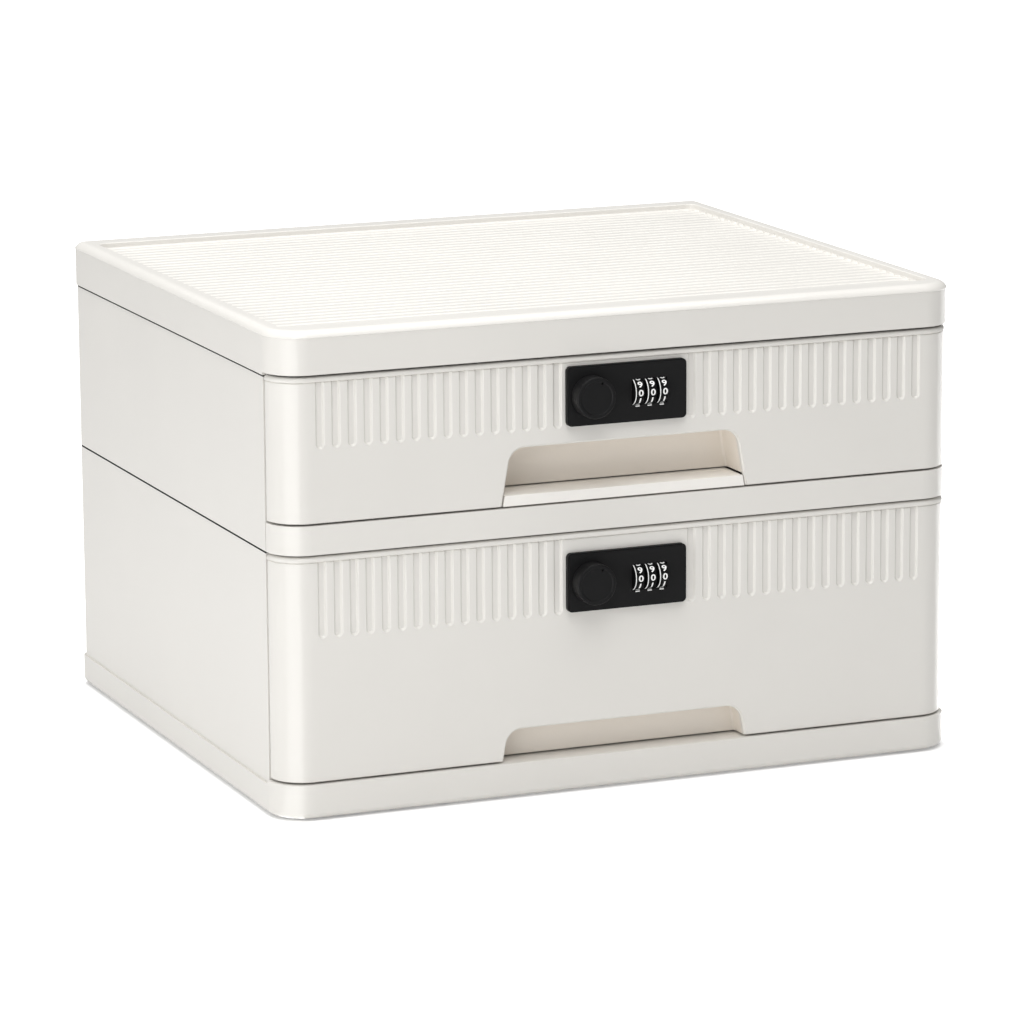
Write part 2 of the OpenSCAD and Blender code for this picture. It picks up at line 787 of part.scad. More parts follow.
module lower_tray() {
    color(inner_white) cab()
        drawer_tray(lower_tray_z0, lower_tray_z1, lower_lock_z, lower_tray_z0 - 1,
            lower_z0 + lower_grip_h + grip_rise + grip_wall, lower_grip_d);
}

// One group of grooves: straight sides, a half-round foot, open under the lip
module grooves(z1, l) {
    for (side = [-1, 1], i = [0:groove_count - 1])
        along_y(lip_step - 1, lip_step + groove_depth)
            translate([side * (groove_space / 2 + groove_w / 2 + i * groove_pitch), z1 - lip_h - l]) {
                translate([-groove_w / 2, groove_w / 2]) square([groove_w, l - groove_w / 2]);
                translate([0, groove_w / 2]) circle(groove_w / 2);
            }
}

// Drawer front: a face that wraps both corners, a lip, grooves, a lock aperture,
// a grip cut-out with its pocket, a top flange and four screw bosses
module drawer_front(z0, z1, tray_z0, tray_z1, lock_z, groove_l, grip_h, grip_d, pocket_z) {
    difference() {
        union() {
            up(z0, z1 - lip_h) front_wall_plan(lip_step, wall_y);
            up(z1 - lip_h, z1) front_wall_plan(0, wall_y);
            block(-tray_x, wall_y - 0.5, z1 - flange_t, tray_x, tray_y0 + tray_t, z1);
            along_y(wall_y - 0.5, grip_d + grip_wall)
                translate([0, z0]) grip_outline(grip_h + grip_rise, grip_wall);
            for (x = [-front_screw_x, front_screw_x], z = front_screw_levels(tray_z0, tray_z1))
                rod_y(x, z, boss_r, wall_y - 0.5, tray_y0);
        }
        along_y(-5, wall_y) translate([0, z0 - 0.01]) grip_outline(grip_h, 0);
        along_y(wall_y - 0.01, grip_d) translate([0, z0 - 0.01]) grip_outline(grip_h + grip_rise, 0);
        // the pocket's walls end above its floor
        block(-grip_w, wall_y, z0 - 1, grip_w, grip_d + grip_wall + 1, pocket_z);
        block(-lock_body_w / 2 - 0.3, -5, lock_z - lock_body_h / 2 - 0.3,
            lock_body_w / 2 + 0.3, wall_y + 1, lock_z + lock_body_h / 2 + 0.3);
        grooves(z1, groove_l);
        for (x = [-front_screw_x, front_screw_x], z = front_screw_levels(tray_z0, tray_z1))
            rod_y(x, z, screw_r + thread_gap, wall_y + 0.3, tray_y0 + 1);
    }
}

module upper_front() {
    color(white) cab()
        drawer_front(upper_z0, upper_z1, upper_tray_z0, upper_tray_z1, upper_lock_z,
            upper_groove_l, upper_grip_h, upper_grip_d, upper_z0 + grip_step_h + 0.8);
}

module lower_front() {
    color(white) cab()
        drawer_front(lower_z0, lower_z1, lower_tray_z0, lower_tray_z1, lower_lock_z,
            lower_groove_l, lower_grip_h, lower_grip_d, lower_z0);
}

// Screws from inside the tray into the front's bosses
module front_screws(tray_z0, tray_z1) {
    for (x = [-front_screw_x, front_screw_x], z = front_screw_levels(tray_z0, tray_z1))
        translate([x, tray_y0 + tray_t, z]) rotate([90, 0, 0]) screw_up(0, 0, 0, tray_t + 5);
}

module upper_front_screws() {
    color(steel) cab() front_screws(upper_tray_z0, upper_tray_z1);
}

module lower_front_screws() {
    color(steel) cab() front_screws(lower_tray_z0, lower_tray_z1);
}

// ---------- locks ----------

// Puts a lock's piece at the height of its drawer
module at_lock(z) {
    cab() translate([0, 0, z]) children();
}

module lock_plate(w, h, r, y0, y1) {
    along_y(y0, y1) round_rect(-w / 2, -h / 2, w / 2, h / 2, r);
}

function dial_xs() = [for (i = [-1, 0, 1]) dial_off + i * dial_pitch];

// Escutcheon with three windows, the knob's bearing and the case behind the front
module lock_bezel() {
    bevel = 0.7;
    ends = [dial_off - 1.5 * dial_pitch - 0.4, dial_off + 1.5 * dial_pitch + 0.4];
    color(black) difference() {
        union() {
            lock_plate(lock_w, lock_h, bezel_r, bezel_y + bevel, face_y);
            lock_plate(lock_w - 2 * bevel, lock_h - 2 * bevel, bezel_r - bevel, bezel_y, face_y);
            difference() {
                along_y(bezel_y + bevel, body_y1) square([lock_body_w, lock_body_h], center = true);
                along_y(body_in_y, body_y1 + 1)
                    square([lock_body_w - 2 * lock_wall, lock_body_h - 2 * lock_wall], center = true);
            }
            for (p = lock_screws_at) rod_y(p[0], p[1], lock_post_r, body_in_y - 0.5, body_y1);
            // bearing walls between the dials
            for (x = ends)
                block(x - 0.5, body_in_y - 0.5, -4, x + 0.5, dial_y + 6, 4);
            for (i = [-0.5, 0.5])
                block(dial_off + i * dial_pitch - 0.35, body_in_y - 0.5, -4,
                    dial_off + i * dial_pitch + 0.35, dial_y + 6, 4);
        }
        for (x = dial_xs())
            rod_x(dial_y, 0, dial_r + dial_clear, x - window_w / 2, x + window_w / 2);
        // the axle drops in from behind
        rod_x(dial_y, 0, axle_d / 2 + run_fit, ends[0] - 0.6, ends[1] + 0.6);
        block(ends[0] - 0.6, dial_y, -axle_d / 2 - run_fit,
            ends[1] + 0.6, dial_y + 7, axle_d / 2 + run_fit);
        rod_y(knob_x, 0, spindle_d / 2 + run_fit, bezel_y - 1, body_in_y + 1);
        for (p = lock_screws_at) rod_y(p[0], p[1], lock_screw_r + thread_gap, body_y1 - 9, body_y1 + 1);
    }
}

// Rear lid of the case with the spindle's second bearing and guides for the gate
module lock_back_cover() {
    color(black) difference() {
        union() {
            along_y(body_y1, body_y1 + back_cover_t) square([lock_body_w, lock_body_h], center = true);
            for (z = [-gate_h / 2 + 0.5, gate_h / 2 - 2])
                block(3, gate_y + gate_t + 0.3, z, gate_x1 - 2, body_y1 + 0.5, z + 1.5);
            rod_y(knob_x, 0, spindle_d / 2 + 2, body_y1 - 5, body_y1 + 0.5);
        }
        rod_y(knob_x, 0, spindle_d / 2 + run_fit, body_y1 - 6, body_y1 + back_cover_t + 1);
        for (p = lock_screws_at)
            rod_y(p[0], p[1], lock_screw_r + pass_gap, body_y1 - 1, body_y1 + back_cover_t + 1);
    }
}

// Pressed steel bridge whose legs clamp the lock against the back of the front
module lock_bridge() {
    leg_x = lock_body_w / 2 + 0.6;
    color(steel) difference() {
        union() {
            block(-leg_x - bridge_t, bridge_y, -bridge_h / 2, leg_x + bridge_t,
                bridge_y + bridge_t, bridge_h / 2);
            for (side = [-1, 1]) on_side(side) {
                block(-leg_x - bridge_t, wall_y, -7, -leg_x, bridge_y + bridge_t, 7);
            }
        }
        rod_y(knob_x, 0, spindle_d / 2 + 1.5, bridge_y - 1, bridge_y + bridge_t + 1);
        for (p = lock_screws_at)
            rod_y(p[0], p[1], lock_screw_r + pass_gap, bridge_y - 1, bridge_y + bridge_t + 1);
    }
}

// Two screws through bridge and rear lid into the case
module lock_screws() {
    head_y = bridge_y + bridge_t;
    color(steel) for (p = lock_screws_at) {
        rod_y(p[0], p[1], lock_screw_r, head_y - 10, head_y);
        difference() {
            rod_y(p[0], p[1], 2.3, head_y, head_y + 0.7);
            block(p[0] - 3, head_y + 0.4, p[1] - 0.3, p[0] + 3, head_y + 2, p[1] + 0.3);
        }
    }
}

// Round knob with a shallow ring, a pointer notch and the spindle behind it
module lock_knob() {
    knob_r = knob_d / 2;
    front = bezel_y - knob_l;
    back = bezel_y - knob_clear;
    pointer = 23;
    color(black) translate([knob_x, 0, 0]) difference() {
        union() {
            translate([0, front, 0]) rotate([-90, 0, 0]) rotate_extrude() polygon([
                [0, 0.4], [knob_r - 2.2, 0.4], [knob_r - 1.7, 0], [knob_r - 0.8, 0],
                [knob_r, 0.8], [knob_r, back - front], [0, back - front]
            ]);
            rod_y(0, 0, spindle_d / 2, back - 0.5, cam_y - 0.2);
            rod_y(0, 0, drive_r, gate_y, gate_y + gate_t);
            along_y(cam_y - 0.5, cam_y + cam_t) square([square_w, square_w], center = true);
        }
        rotate([0, pointer, 0]) block(-0.5, front - 1, knob_r - 3.4, 0.5, front + 0.9, knob_r - 1.9);
        rod_y(0, 0, lock_screw_r + thread_gap, cam_y + cam_t - 8, cam_y + cam_t + 1);
    }
}

// Flat steel cam on the spindle's square; it lies flat at rest and turns up to lock
module lock_cam() {
    color(steel) translate([knob_x, 0, 0]) difference() {
        union() {
            along_y(cam_y, cam_y + cam_t) {
                circle(cam_hub_r);
                translate([cam_w / 2 - cam_l, -cam_w / 2]) square([cam_l - cam_w / 2, cam_w]);
                translate([cam_w / 2 - cam_l, 0]) circle(cam_w / 2);
            }
        }
        along_y(cam_y - 1, cam_y + cam_t + 1)
            square([square_w + 0.1, square_w + 0.1], center = true);
    }
}

// Screw that holds the cam on the spindle
module cam_screw() {
    y = cam_y + cam_t;
    color(steel) translate([knob_x, 0, 0]) {
        rod_y(0, 0, lock_screw_r, y - 7, y);
        difference() {
            rod_y(0, 0, 4.5, y, y + 1.6);
            block(-5, y + 1, -0.4, 5, y + 3, 0.4);
        }
    }
}

// Comb behind the dials that the spindle's disc drives sideways
module lock_gate() {
    color(steel) {
        block(gate_x0, gate_y, -gate_h / 2 + 1, gate_x1, gate_y + gate_t, gate_h / 2 - 1);
        for (x = dial_xs())
            block(x - dial_pitch / 2, gate_y - 0.9, -1, x - dial_pitch / 2 + 1.4, gate_y + 0.5, 1);
    }
}

// Number dial: a drum with a finger notch between each two of its ten places
module dial(x) {
    notch_r = 0.9;
    color(black) difference() {
        union() {
            rod_x(dial_y, 0, dial_r, x - dial_w / 2 + 0.3, x + dial_w / 2 - 0.3);
            rod_x(dial_y, 0, dial_r - 0.3, x - dial_w / 2, x + dial_w / 2);
        }
        rod_x(dial_y, 0, axle_d / 2 + run_fit, x - dial_w, x + dial_w);
        for (i = [0:9])
            translate([0, dial_y, 0]) rotate([18 + 36 * i, 0, 0])
                rod_x(-dial_r - 0.4, 0, notch_r, x - dial_w, x + dial_w);
    }
}

// Pin that carries the three dials
module dial_axle() {
    color(steel)
        rod_x(dial_y, 0, axle_d / 2, dial_off - 1.5 * dial_pitch - 0.8, dial_off + 1.5 * dial_pitch + 0.8);
}

// Leaf with one finger under each dial, on the floor of the case
module detent_spring() {
    floor_z = lock_wall - lock_body_h / 2;
    finger_y = dial_y + 4.2;
    finger_z = -sqrt(pow(dial_r + dial_clear, 2) - pow(4.2, 2)) - 0.1;
    color(steel) {
        block(dial_off - 1.5 * dial_pitch, dial_y + 4, floor_z,
            dial_off + 1.5 * dial_pitch, dial_y + 14, floor_z + 0.4);
        for (x = dial_xs())
            block(x - 1.5, finger_y - 0.2, floor_z, x + 1.5, finger_y + 0.2, finger_z);
    }
}

module upper_lock_bezel() at_lock(upper_lock_z) lock_bezel();
module upper_lock_back_cover() at_lock(upper_lock_z) lock_back_cover();
module upper_lock_bridge() at_lock(upper_lock_z) lock_bridge();
module upper_lock_screws() at_lock(upper_lock_z) lock_screws();
module upper_lock_knob() at_lock(upper_lock_z) lock_knob();
module upper_lock_cam() at_lock(upper_lock_z) lock_cam();
module upper_cam_screw() at_lock(upper_lock_z) cam_screw();
module upper_lock_gate() at_lock(upper_lock_z) lock_gate();
module upper_dial_left() at_lock(upper_lock_z) dial(dial_xs()[0]);
module upper_dial_middle() at_lock(upper_lock_z) dial(dial_xs()[1]);
module upper_dial_right() at_lock(upper_lock_z) dial(dial_xs()[2]);
module upper_dial_axle() at_lock(upper_lock_z) dial_axle();
module upper_detent_spring() at_lock(upper_lock_z) detent_spring();
module lower_lock_bezel() at_lock(lower_lock_z) lock_bezel();
module lower_lock_back_cover() at_lock(lower_lock_z) lock_back_cover();
module lower_lock_bridge() at_lock(lower_lock_z) lock_bridge();
module lower_lock_screws() at_lock(lower_lock_z) lock_screws();
module lower_lock_knob() at_lock(lower_lock_z) lock_knob();
module lower_lock_cam() at_lock(lower_lock_z) lock_cam();
module lower_cam_screw() at_lock(lower_lock_z) cam_screw();
module lower_lock_gate() at_lock(lower_lock_z) lock_gate();
module lower_dial_left() at_lock(lower_lock_z) dial(dial_xs()[0]);
module lower_dial_middle() at_lock(lower_lock_z) dial(dial_xs()[1]);
module lower_dial_right() at_lock(lower_lock_z) dial(dial_xs()[2]);
module lower_dial_axle() at_lock(lower_lock_z) dial_axle();
module lower_detent_spring() at_lock(lower_lock_z) detent_spring();

top_cover();
base();
rubber_feet();
middle_deck();
upper_left_side();
upper_right_side();
lower_left_side();
lower_right_side();
upper_back_panel();
lower_back_panel();
upper_left_runner();
upper_right_runner();
lower_left_runner();
lower_right_runner();
base_screws();
tier_screws();
cover_screws();
runner_screws();
upper_tray();
upper_front();
upper_front_screws();
upper_lock_bezel();
upper_lock_back_cover();
upper_lock_bridge();
upper_lock_screws();
upper_lock_knob();
upper_lock_cam();
upper_cam_screw();
upper_lock_gate();
upper_dial_left();
upper_dial_middle();
upper_dial_right();
upper_dial_axle();
upper_detent_spring();
lower_tray();
lower_front();
lower_front_screws();
lower_lock_bezel();
lower_lock_back_cover();
lower_lock_bridge();
lower_lock_screws();
lower_lock_knob();
lower_lock_cam();
lower_cam_screw();
lower_lock_gate();
lower_dial_left();
lower_dial_middle();
lower_dial_right();
lower_dial_axle();
lower_detent_spring();
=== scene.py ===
import math

import bmesh
import bpy
import numpy as np
from mathutils import Matrix, Vector


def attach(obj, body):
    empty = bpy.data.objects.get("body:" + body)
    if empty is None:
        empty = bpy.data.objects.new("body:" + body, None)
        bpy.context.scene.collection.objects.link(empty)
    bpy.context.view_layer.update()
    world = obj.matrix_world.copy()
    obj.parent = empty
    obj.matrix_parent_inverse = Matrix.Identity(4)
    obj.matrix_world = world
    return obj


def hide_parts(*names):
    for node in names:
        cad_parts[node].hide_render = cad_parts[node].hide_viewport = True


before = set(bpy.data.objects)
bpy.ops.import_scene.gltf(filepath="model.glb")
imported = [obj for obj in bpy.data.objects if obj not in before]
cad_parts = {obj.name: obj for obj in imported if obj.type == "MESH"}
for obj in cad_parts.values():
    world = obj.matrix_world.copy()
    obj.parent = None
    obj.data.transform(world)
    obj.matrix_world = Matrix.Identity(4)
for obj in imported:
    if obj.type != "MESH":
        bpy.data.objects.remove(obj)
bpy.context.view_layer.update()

# ---------- Base and feet ----------
# The plinth that everything stands on: one injection-moulded off-white ABS piece with a soft
# sheen and a very fine grain. Four grey rubber pads are pressed into sockets underneath.

MM = 0.001                      # a millimetre in metres
JOIN = 0.000004                 # a CAD node's loose triangles are joined where they are this near
FLAT = math.radians(0.6)        # faces that turn by less than this make one flat
SHARP = math.radians(32)        # edges that turn by more than this are rounded


def shared_group(name, inputs, outputs):
    """An empty shader node group with its named inputs and outputs."""
    group = bpy.data.node_groups.new(name, "ShaderNodeTree")
    for label, kind, value in inputs:
        socket = group.interface.new_socket(label, in_out="INPUT", socket_type=kind)
        socket.default_value = value
    for label, kind in outputs:
        group.interface.new_socket(label, in_out="OUTPUT", socket_type=kind)
    return group


def add_node(tree, kind, values=(), **settings):
    """A node with some of its properties and unlinked inputs set."""
    node = tree.nodes.new(kind)
    for key, value in settings.items():
        setattr(node, key, value)
    for key, value in dict(values).items():
        node.inputs[key].default_value = value
    return node


def build_grain_group():
    """Grain of a moulded surface: two fine noises make the height, a wide one the colour's swing.

    Height = fine noise + half of a noise that is 0.31 times as fine. Colour = given colour times
    (1 + tone * swing), where swing is the wide noise stretched to -1 .. 1. Roughness = given
    roughness + change * (0.6 * fine noise + swing)."""
    group = shared_group("surface_grain", [
        ("Colour", "NodeSocketColor", (0.8, 0.8, 0.8, 1.0)),
        ("Tone", "NodeSocketFloat", 0.02),
        ("Fineness", "NodeSocketFloat", 2500.0),
        ("Depth", "NodeSocketFloat", 0.1),
        ("Roughness", "NodeSocketFloat", 0.4),
        ("Change", "NodeSocketFloat", 0.05),
    ], [
        ("Colour", "NodeSocketColor"),
        ("Roughness", "NodeSocketFloat"),
        ("Normal", "NodeSocketVector"),
    ])
    given = group.nodes.new("NodeGroupInput")
    result = group.nodes.new("NodeGroupOutput")
    place = group.nodes.new("ShaderNodeTexCoord")
    fine = add_node(group, "ShaderNodeTexNoise", {"Detail": 2.0, "Roughness": 0.6})
    wide = add_node(group, "ShaderNodeTexNoise", {"Scale": 14.0, "Detail": 3.0, "Roughness": 0.55})
    coarser = add_node(group, "ShaderNodeMath", {1: 0.31}, operation="MULTIPLY")
    coarse = add_node(group, "ShaderNodeTexNoise", {"Detail": 1.0})
    height = add_node(group, "ShaderNodeMath", {1: 0.5}, operation="MULTIPLY_ADD")
    bump = add_node(group, "ShaderNodeBump", {"Distance": 0.06 * MM})
    swing = add_node(group, "ShaderNodeMapRange",
                     {"From Min": 0.3, "From Max": 0.7, "To Min": -1.0, "To Max": 1.0})
    shade = add_node(group, "ShaderNodeMath", {2: 1.0}, operation="MULTIPLY_ADD")
    tint = add_node(group, "ShaderNodeVectorMath", operation="SCALE")
    blend = add_node(group, "ShaderNodeMath", {1: 0.6}, operation="MULTIPLY_ADD")
    gloss = add_node(group, "ShaderNodeMath", operation="MULTIPLY_ADD")
    wire = group.links.new
    for noise in (fine, wide, coarse):
        wire(place.outputs["Object"], noise.inputs["Vector"])
    wire(given.outputs["Fineness"], fine.inputs["Scale"])
    wire(given.outputs["Fineness"], coarser.inputs[0])
    wire(coarser.outputs[0], coarse.inputs["Scale"])
    wire(coarse.outputs["Fac"], height.inputs[0])
    wire(fine.outputs["Fac"], height.inputs[2])
    wire(height.outputs[0], bump.inputs["Height"])
    wire(given.outputs["Depth"], bump.inputs["Strength"])
    wire(wide.outputs["Fac"], swing.inputs["Value"])
    wire(swing.outputs[0], shade.inputs[0])
    wire(given.outputs["Tone"], shade.inputs[1])
    wire(given.outputs["Colour"], tint.inputs[0])
    wire(shade.outputs[0], tint.inputs["Scale"])
    wire(fine.outputs["Fac"], blend.inputs[0])
    wire(swing.outputs[0], blend.inputs[2])
    wire(blend.outputs[0], gloss.inputs[0])
    wire(given.outputs["Change"], gloss.inputs[1])
    wire(given.outputs["Roughness"], gloss.inputs[2])
    wire(tint.outputs[0], result.inputs["Colour"])
    wire(gloss.outputs[0], result.inputs["Roughness"])
    wire(bump.outputs[0], result.inputs["Normal"])
    return group


surface_grain = build_grain_group()


def grained(name, colour, roughness, tone=0.012, fineness=2600.0, depth=0.08, change=0.04,
            **shader):
    """A finish of the shared grain with its own colour, gloss, grain and other shader values."""
    material = bpy.data.materials.new(name)
    material.use_nodes = True
    tree = material.node_tree
    body = tree.nodes["Principled BSDF"]
    grain = add_node(tree, "ShaderNodeGroup", node_tree=surface_grain)
    for label, value in (("Colour", (*colour, 1.0)), ("Tone", tone), ("Fineness", fineness),
                         ("Depth", depth), ("Roughness", roughness), ("Change", change)):
        grain.inputs[label].default_value = value
    tree.links.new(grain.outputs["Colour"], body.inputs["Base Color"])
    tree.links.new(grain.outputs["Roughness"], body.inputs["Roughness"])
    tree.links.new(grain.outputs["Normal"], body.inputs["Normal"])
    for label, value in shader.items():
        body.inputs[label.replace("_", " ")].default_value = value
    return material


def finish_node(node, material, edge=0.0):
    """Gives a CAD node its finish; edge rounds its moulded edges by that many millimetres, after
    its triangles are joined and its flats made whole."""
    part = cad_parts[node]
    for slot in part.material_slots:
        slot.material = material
    if edge:
        weld = part.modifiers.new("join", "WELD")
        weld.merge_threshold = JOIN
        flat = part.modifiers.new("flats", "DECIMATE")
        flat.decimate_type = "DISSOLVE"
        flat.angle_limit = FLAT
        bevel = part.modifiers.new("edges", "BEVEL")
        bevel.width = edge * MM
        bevel.segments = 2
        bevel.limit_method = "ANGLE"
        bevel.angle_limit = SHARP
        bevel.use_clamp_overlap = True
        bevel.miter_outer = "MITER_ARC"
        even = part.modifiers.new("shading", "WEIGHTED_NORMAL")
        even.keep_sharp = True


shell_white = grained("shell_white", (0.765, 0.745, 0.705), 0.42,
                      Specular_IOR_Level=0.35, Coat_Weight=0.25, Coat_Roughness=0.03)
rubber_grey = grained("rubber_grey", (0.07, 0.07, 0.072), 0.75,
                      tone=0.08, fineness=1500.0, depth=0.25)
finish_node("base", shell_white, 0.5)
finish_node("rubber_feet", rubber_grey, 0.3)

# ---------- Sides, backs and deck ----------
# Two side panels and a back panel make each tier; the deck between them carries the front rail.
# All are plain off-white mouldings from the same resin, with slightly broken edges at the seams;
# the side panels carry painted shade in dark bands along their seams.

SEAM_LEVELS, SEAM_HALF = (0.1370, 0.2276), 0.0005     # heights of the side seams, half of a seam


def colour_group(name):
    """An empty group from one colour to another, with a piece's own X, Y and Z ready in it."""
    group = shared_group(name, [("Colour", "NodeSocketColor", (0.8, 0.8, 0.8, 1.0))],
                         [("Colour", "NodeSocketColor")])
    given, result = group.nodes.new("NodeGroupInput"), group.nodes.new("NodeGroupOutput")
    place, axes = group.nodes.new("ShaderNodeTexCoord"), group.nodes.new("ShaderNodeSeparateXYZ")
    group.links.new(place.outputs["Object"], axes.inputs[0])
    return group, given, result, axes


def build_seam_group():
    """Painted shade: colour darkened to a fiftieth at the heights of the two side seams, where only
    the tongue between the panels is in sight and the gap's shade falls: seam = 1 where |Z - middle|
    < 0.5 mm."""
    group, given, result, axes = colour_group("seam_shade")
    both = add_node(group, "ShaderNodeMath", operation="MAXIMUM")
    wire = group.links.new
    for count, middle in enumerate(SEAM_LEVELS):
        near = add_node(group, "ShaderNodeMath", {1: middle, 2: SEAM_HALF}, operation="COMPARE")
        wire(axes.outputs["Z"], near.inputs[0])
        wire(near.outputs[0], both.inputs[count])
    dark = add_node(group, "ShaderNodeMapRange", {"To Min": 1.0, "To Max": 0.02})
    tint = add_node(group, "ShaderNodeVectorMath", operation="SCALE")
    wire(both.outputs[0], dark.inputs["Value"])
    wire(given.outputs[0], tint.inputs[0])
    wire(dark.outputs[0], tint.inputs["Scale"])
    wire(tint.outputs[0], result.inputs[0])
    return group


def tinted_copy(material, name, group):
    """A copy of a finish whose colour goes through one more group on its way to the shader."""
    copy = material.copy()
    copy.name = name
    tree = copy.node_tree
    tint = add_node(tree, "ShaderNodeGroup", node_tree=group)
    colour = tree.nodes["Principled BSDF"].inputs["Base Color"]
    tree.links.new(colour.links[0].from_socket, tint.inputs[0])
    tree.links.new(tint.outputs[0], colour)
    return copy


# painted shade: the side panels' finish, dark in bands at the seam heights
side_white_painted_seams = tinted_copy(shell_white, "side_white_painted_seams", build_seam_group())
for node in ("lower_left_side", "lower_right_side", "upper_left_side", "upper_right_side"):
    finish_node(node, side_white_painted_seams, 0.2)
for node in ("lower_back_panel", "upper_back_panel"):
    finish_node(node, shell_white, 0.4)
finish_node("middle_deck", shell_white, 0.9)

# ---------- Runners ----------
# Four ledges moulded in natural plastic and screwed to the side panels; the drawers' ribs slide
# on them. They get one even finish, without polished tracks.

inner_white = grained("inner_white", (0.70, 0.67, 0.62), 0.46, tone=0.02)
for tier in ("lower", "upper"):
    for hand in ("left", "right"):
        finish_node(f"{tier}_{hand}_runner", inner_white, 0.3)

# ---------- Cabinet screws ----------
# Zinc-plated steel, bluish and bright with a fine random grain in place of turning marks. They
# join the base, the tiers and the cover, and hold the runners.

zinc = grained("zinc", (0.60, 0.61, 0.63), 0.34,
               tone=0.06, fineness=3500.0, depth=0.12, change=0.08, Metallic=1.0)
for node in ("base_screws", "tier_screws", "cover_screws", "runner_screws"):
    finish_node(node, zinc)

# ---------- Top cover ----------
# A lid moulded in one piece: a broad rounded rim with a skirt, and a sunk panel of fine cross
# ribs. Underneath it has stiffening ribs, four screw bosses and the rib behind the upper cam.

FRONT = -159.9                        # front plane of the cabinet's plan, in millimetres of Y
WIDTH, DEPTH = 380.0, 330.0           # that plan's size
CORNER, REAR = 18.0, 6.0              # its corner radii in front and at the back
RIM_TOP, RIB_TOP, CEILING = 252.0, 249.2, 246.7     # heights of rim, cross ribs and underside
RIM_EDGE, WALL_EDGE = 6.15, 0.6       # radii of the rim's outer and inner edge
RECESS_HALF, RECESS_FRONT, RECESS_REAR, RECESS_R = 181, 15, 314, 5     # the sunk panel's outline
PITCH = 8.6                           # from groove to groove, here and on the drawer fronts
MERGE, SLIVER = 2e-6, 1e-7            # in metres: points this near are one, edges this short go


def quads(rows, cols, close_cols=False):
    """Corner numbers of the faces between neighbouring rows and columns of a grid of points."""
    last = cols if close_cols else cols - 1
    r, c = np.meshgrid(np.arange(rows - 1), np.arange(last), indexing="ij")
    c1 = (c + 1) % cols
    here, above = r * cols, (r + 1) * cols
    return np.stack([here + c, here + c1, above + c1, above + c], -1).reshape(-1, 4)


def skin(points, close_cols=False):
    """A grid of points, rows by columns, as its points in one list and the faces between them."""
    points = np.asarray(points, float)
    return points.reshape(-1, 3), quads(points.shape[0], points.shape[1], close_cols)


def joined(skins):
    """Several skins as one: the points one after another, each face's numbers moved along."""
    starts = np.cumsum([0] + [len(p) for p, _ in skins[:-1]])
    return (np.concatenate([p for p, _ in skins]),
            np.concatenate([f + s for (_, f), s in zip(skins, starts)]))


def piece(name, skins, material, body, slot, *nodes, crease=38):
    """One closed piece from skins in millimetres measured from the front plane: points that meet
    are merged, faces turned outwards, and everything smooth but for edges sharper than crease."""
    points, faces = joined(skins)
    points = (points + (0.0, FRONT, 0.0)) * MM
    mesh = bpy.data.meshes.new(name)
    mesh.vertices.add(len(points))
    mesh.vertices.foreach_set("co", points.ravel())
    mesh.loops.add(faces.size)
    mesh.loops.foreach_set("vertex_index", faces.ravel().astype(np.int32))
    mesh.polygons.add(len(faces))
    mesh.polygons.foreach_set("loop_start", np.arange(len(faces), dtype=np.int32) * 4)
    mesh.update(calc_edges=True)
    work = bmesh.new()
    work.from_mesh(mesh)
    bmesh.ops.remove_doubles(work, verts=work.verts, dist=MERGE)
    bmesh.ops.dissolve_degenerate(work, edges=work.edges, dist=SLIVER)
    bmesh.ops.recalc_face_normals(work, faces=work.faces)
    work.to_mesh(mesh)
    work.free()
    mesh.polygons.foreach_set("use_smooth", np.ones(len(mesh.polygons), bool))
    mesh.set_sharp_from_angle(angle=math.radians(crease))
    mesh.materials.append(material)
    thing = bpy.data.objects.new(name, mesh)
    bpy.context.scene.collection.objects.link(thing)
    even = thing.modifiers.new("shading", "WEIGHTED_NORMAL")
    even.keep_sharp = True
    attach(thing, body)
    if nodes:
        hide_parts(*nodes)
    return thing


def ring(half_x, y0, y1, r, z, sides=(), steps=12, rear=None):
    """Points round a rectangle with round corners of radius r in front and rear behind,
    anticlockwise from the left front corner; z is one height or a function of y, and sides are
    extra places in y along both sides."""
    turn = np.linspace(0.0, math.pi / 2, steps + 1)
    rear = r if rear is None else rear
    sides = np.clip(np.asarray(sides, float), y0 + r, y1 - rear)
    x, y = [], []
    for side, cy, q, start in ((-1, y0 + r, r, math.pi), (1, y0 + r, r, 1.5 * math.pi),
                               (1, y1 - rear, rear, 0.0), (-1, y1 - rear, rear, 0.5 * math.pi)):
        x.append(side * (half_x - q) + q * np.cos(start + turn))
        y.append(cy + q * np.sin(start + turn))
        if start == 1.5 * math.pi:
            x.append(np.full(len(sides), half_x))
            y.append(sides)
        if start == 0.5 * math.pi:
            x.append(np.full(len(sides), -half_x))
            y.append(sides[::-1])
    x, y = np.concatenate(x), np.concatenate(y)
    return np.stack([x, y, z(y) if callable(z) else np.full(len(x), float(z))], -1)


def capped(rings):
    """Closed rings in order with both ends drawn together in their middle points."""
    rings = [np.asarray(r, float) for r in rings]
    ends = [np.broadcast_to(r.mean(0), r.shape) for r in (rings[0], rings[-1])]
    return skin(np.stack([ends[0], *rings, ends[1]]), close_cols=True)


def block(x0, y0, z0, x1, y1, z1, edge=0.3):
    """A moulded rib: a box whose upright corners and ends are rounded by edge."""
    cx, hx = (x0 + x1) / 2, (x1 - x0) / 2
    rows = []
    for inset, z in ((edge, z0), (edge * 0.3, z0 + edge * 0.3), (0, z0 + edge),
                     (0, z1 - edge), (edge * 0.3, z1 - edge * 0.3), (edge, z1)):
        rows.append(ring(hx - inset, y0 + inset, y1 - inset, edge, z, steps=2) + (cx, 0, 0))
    return capped(rows)


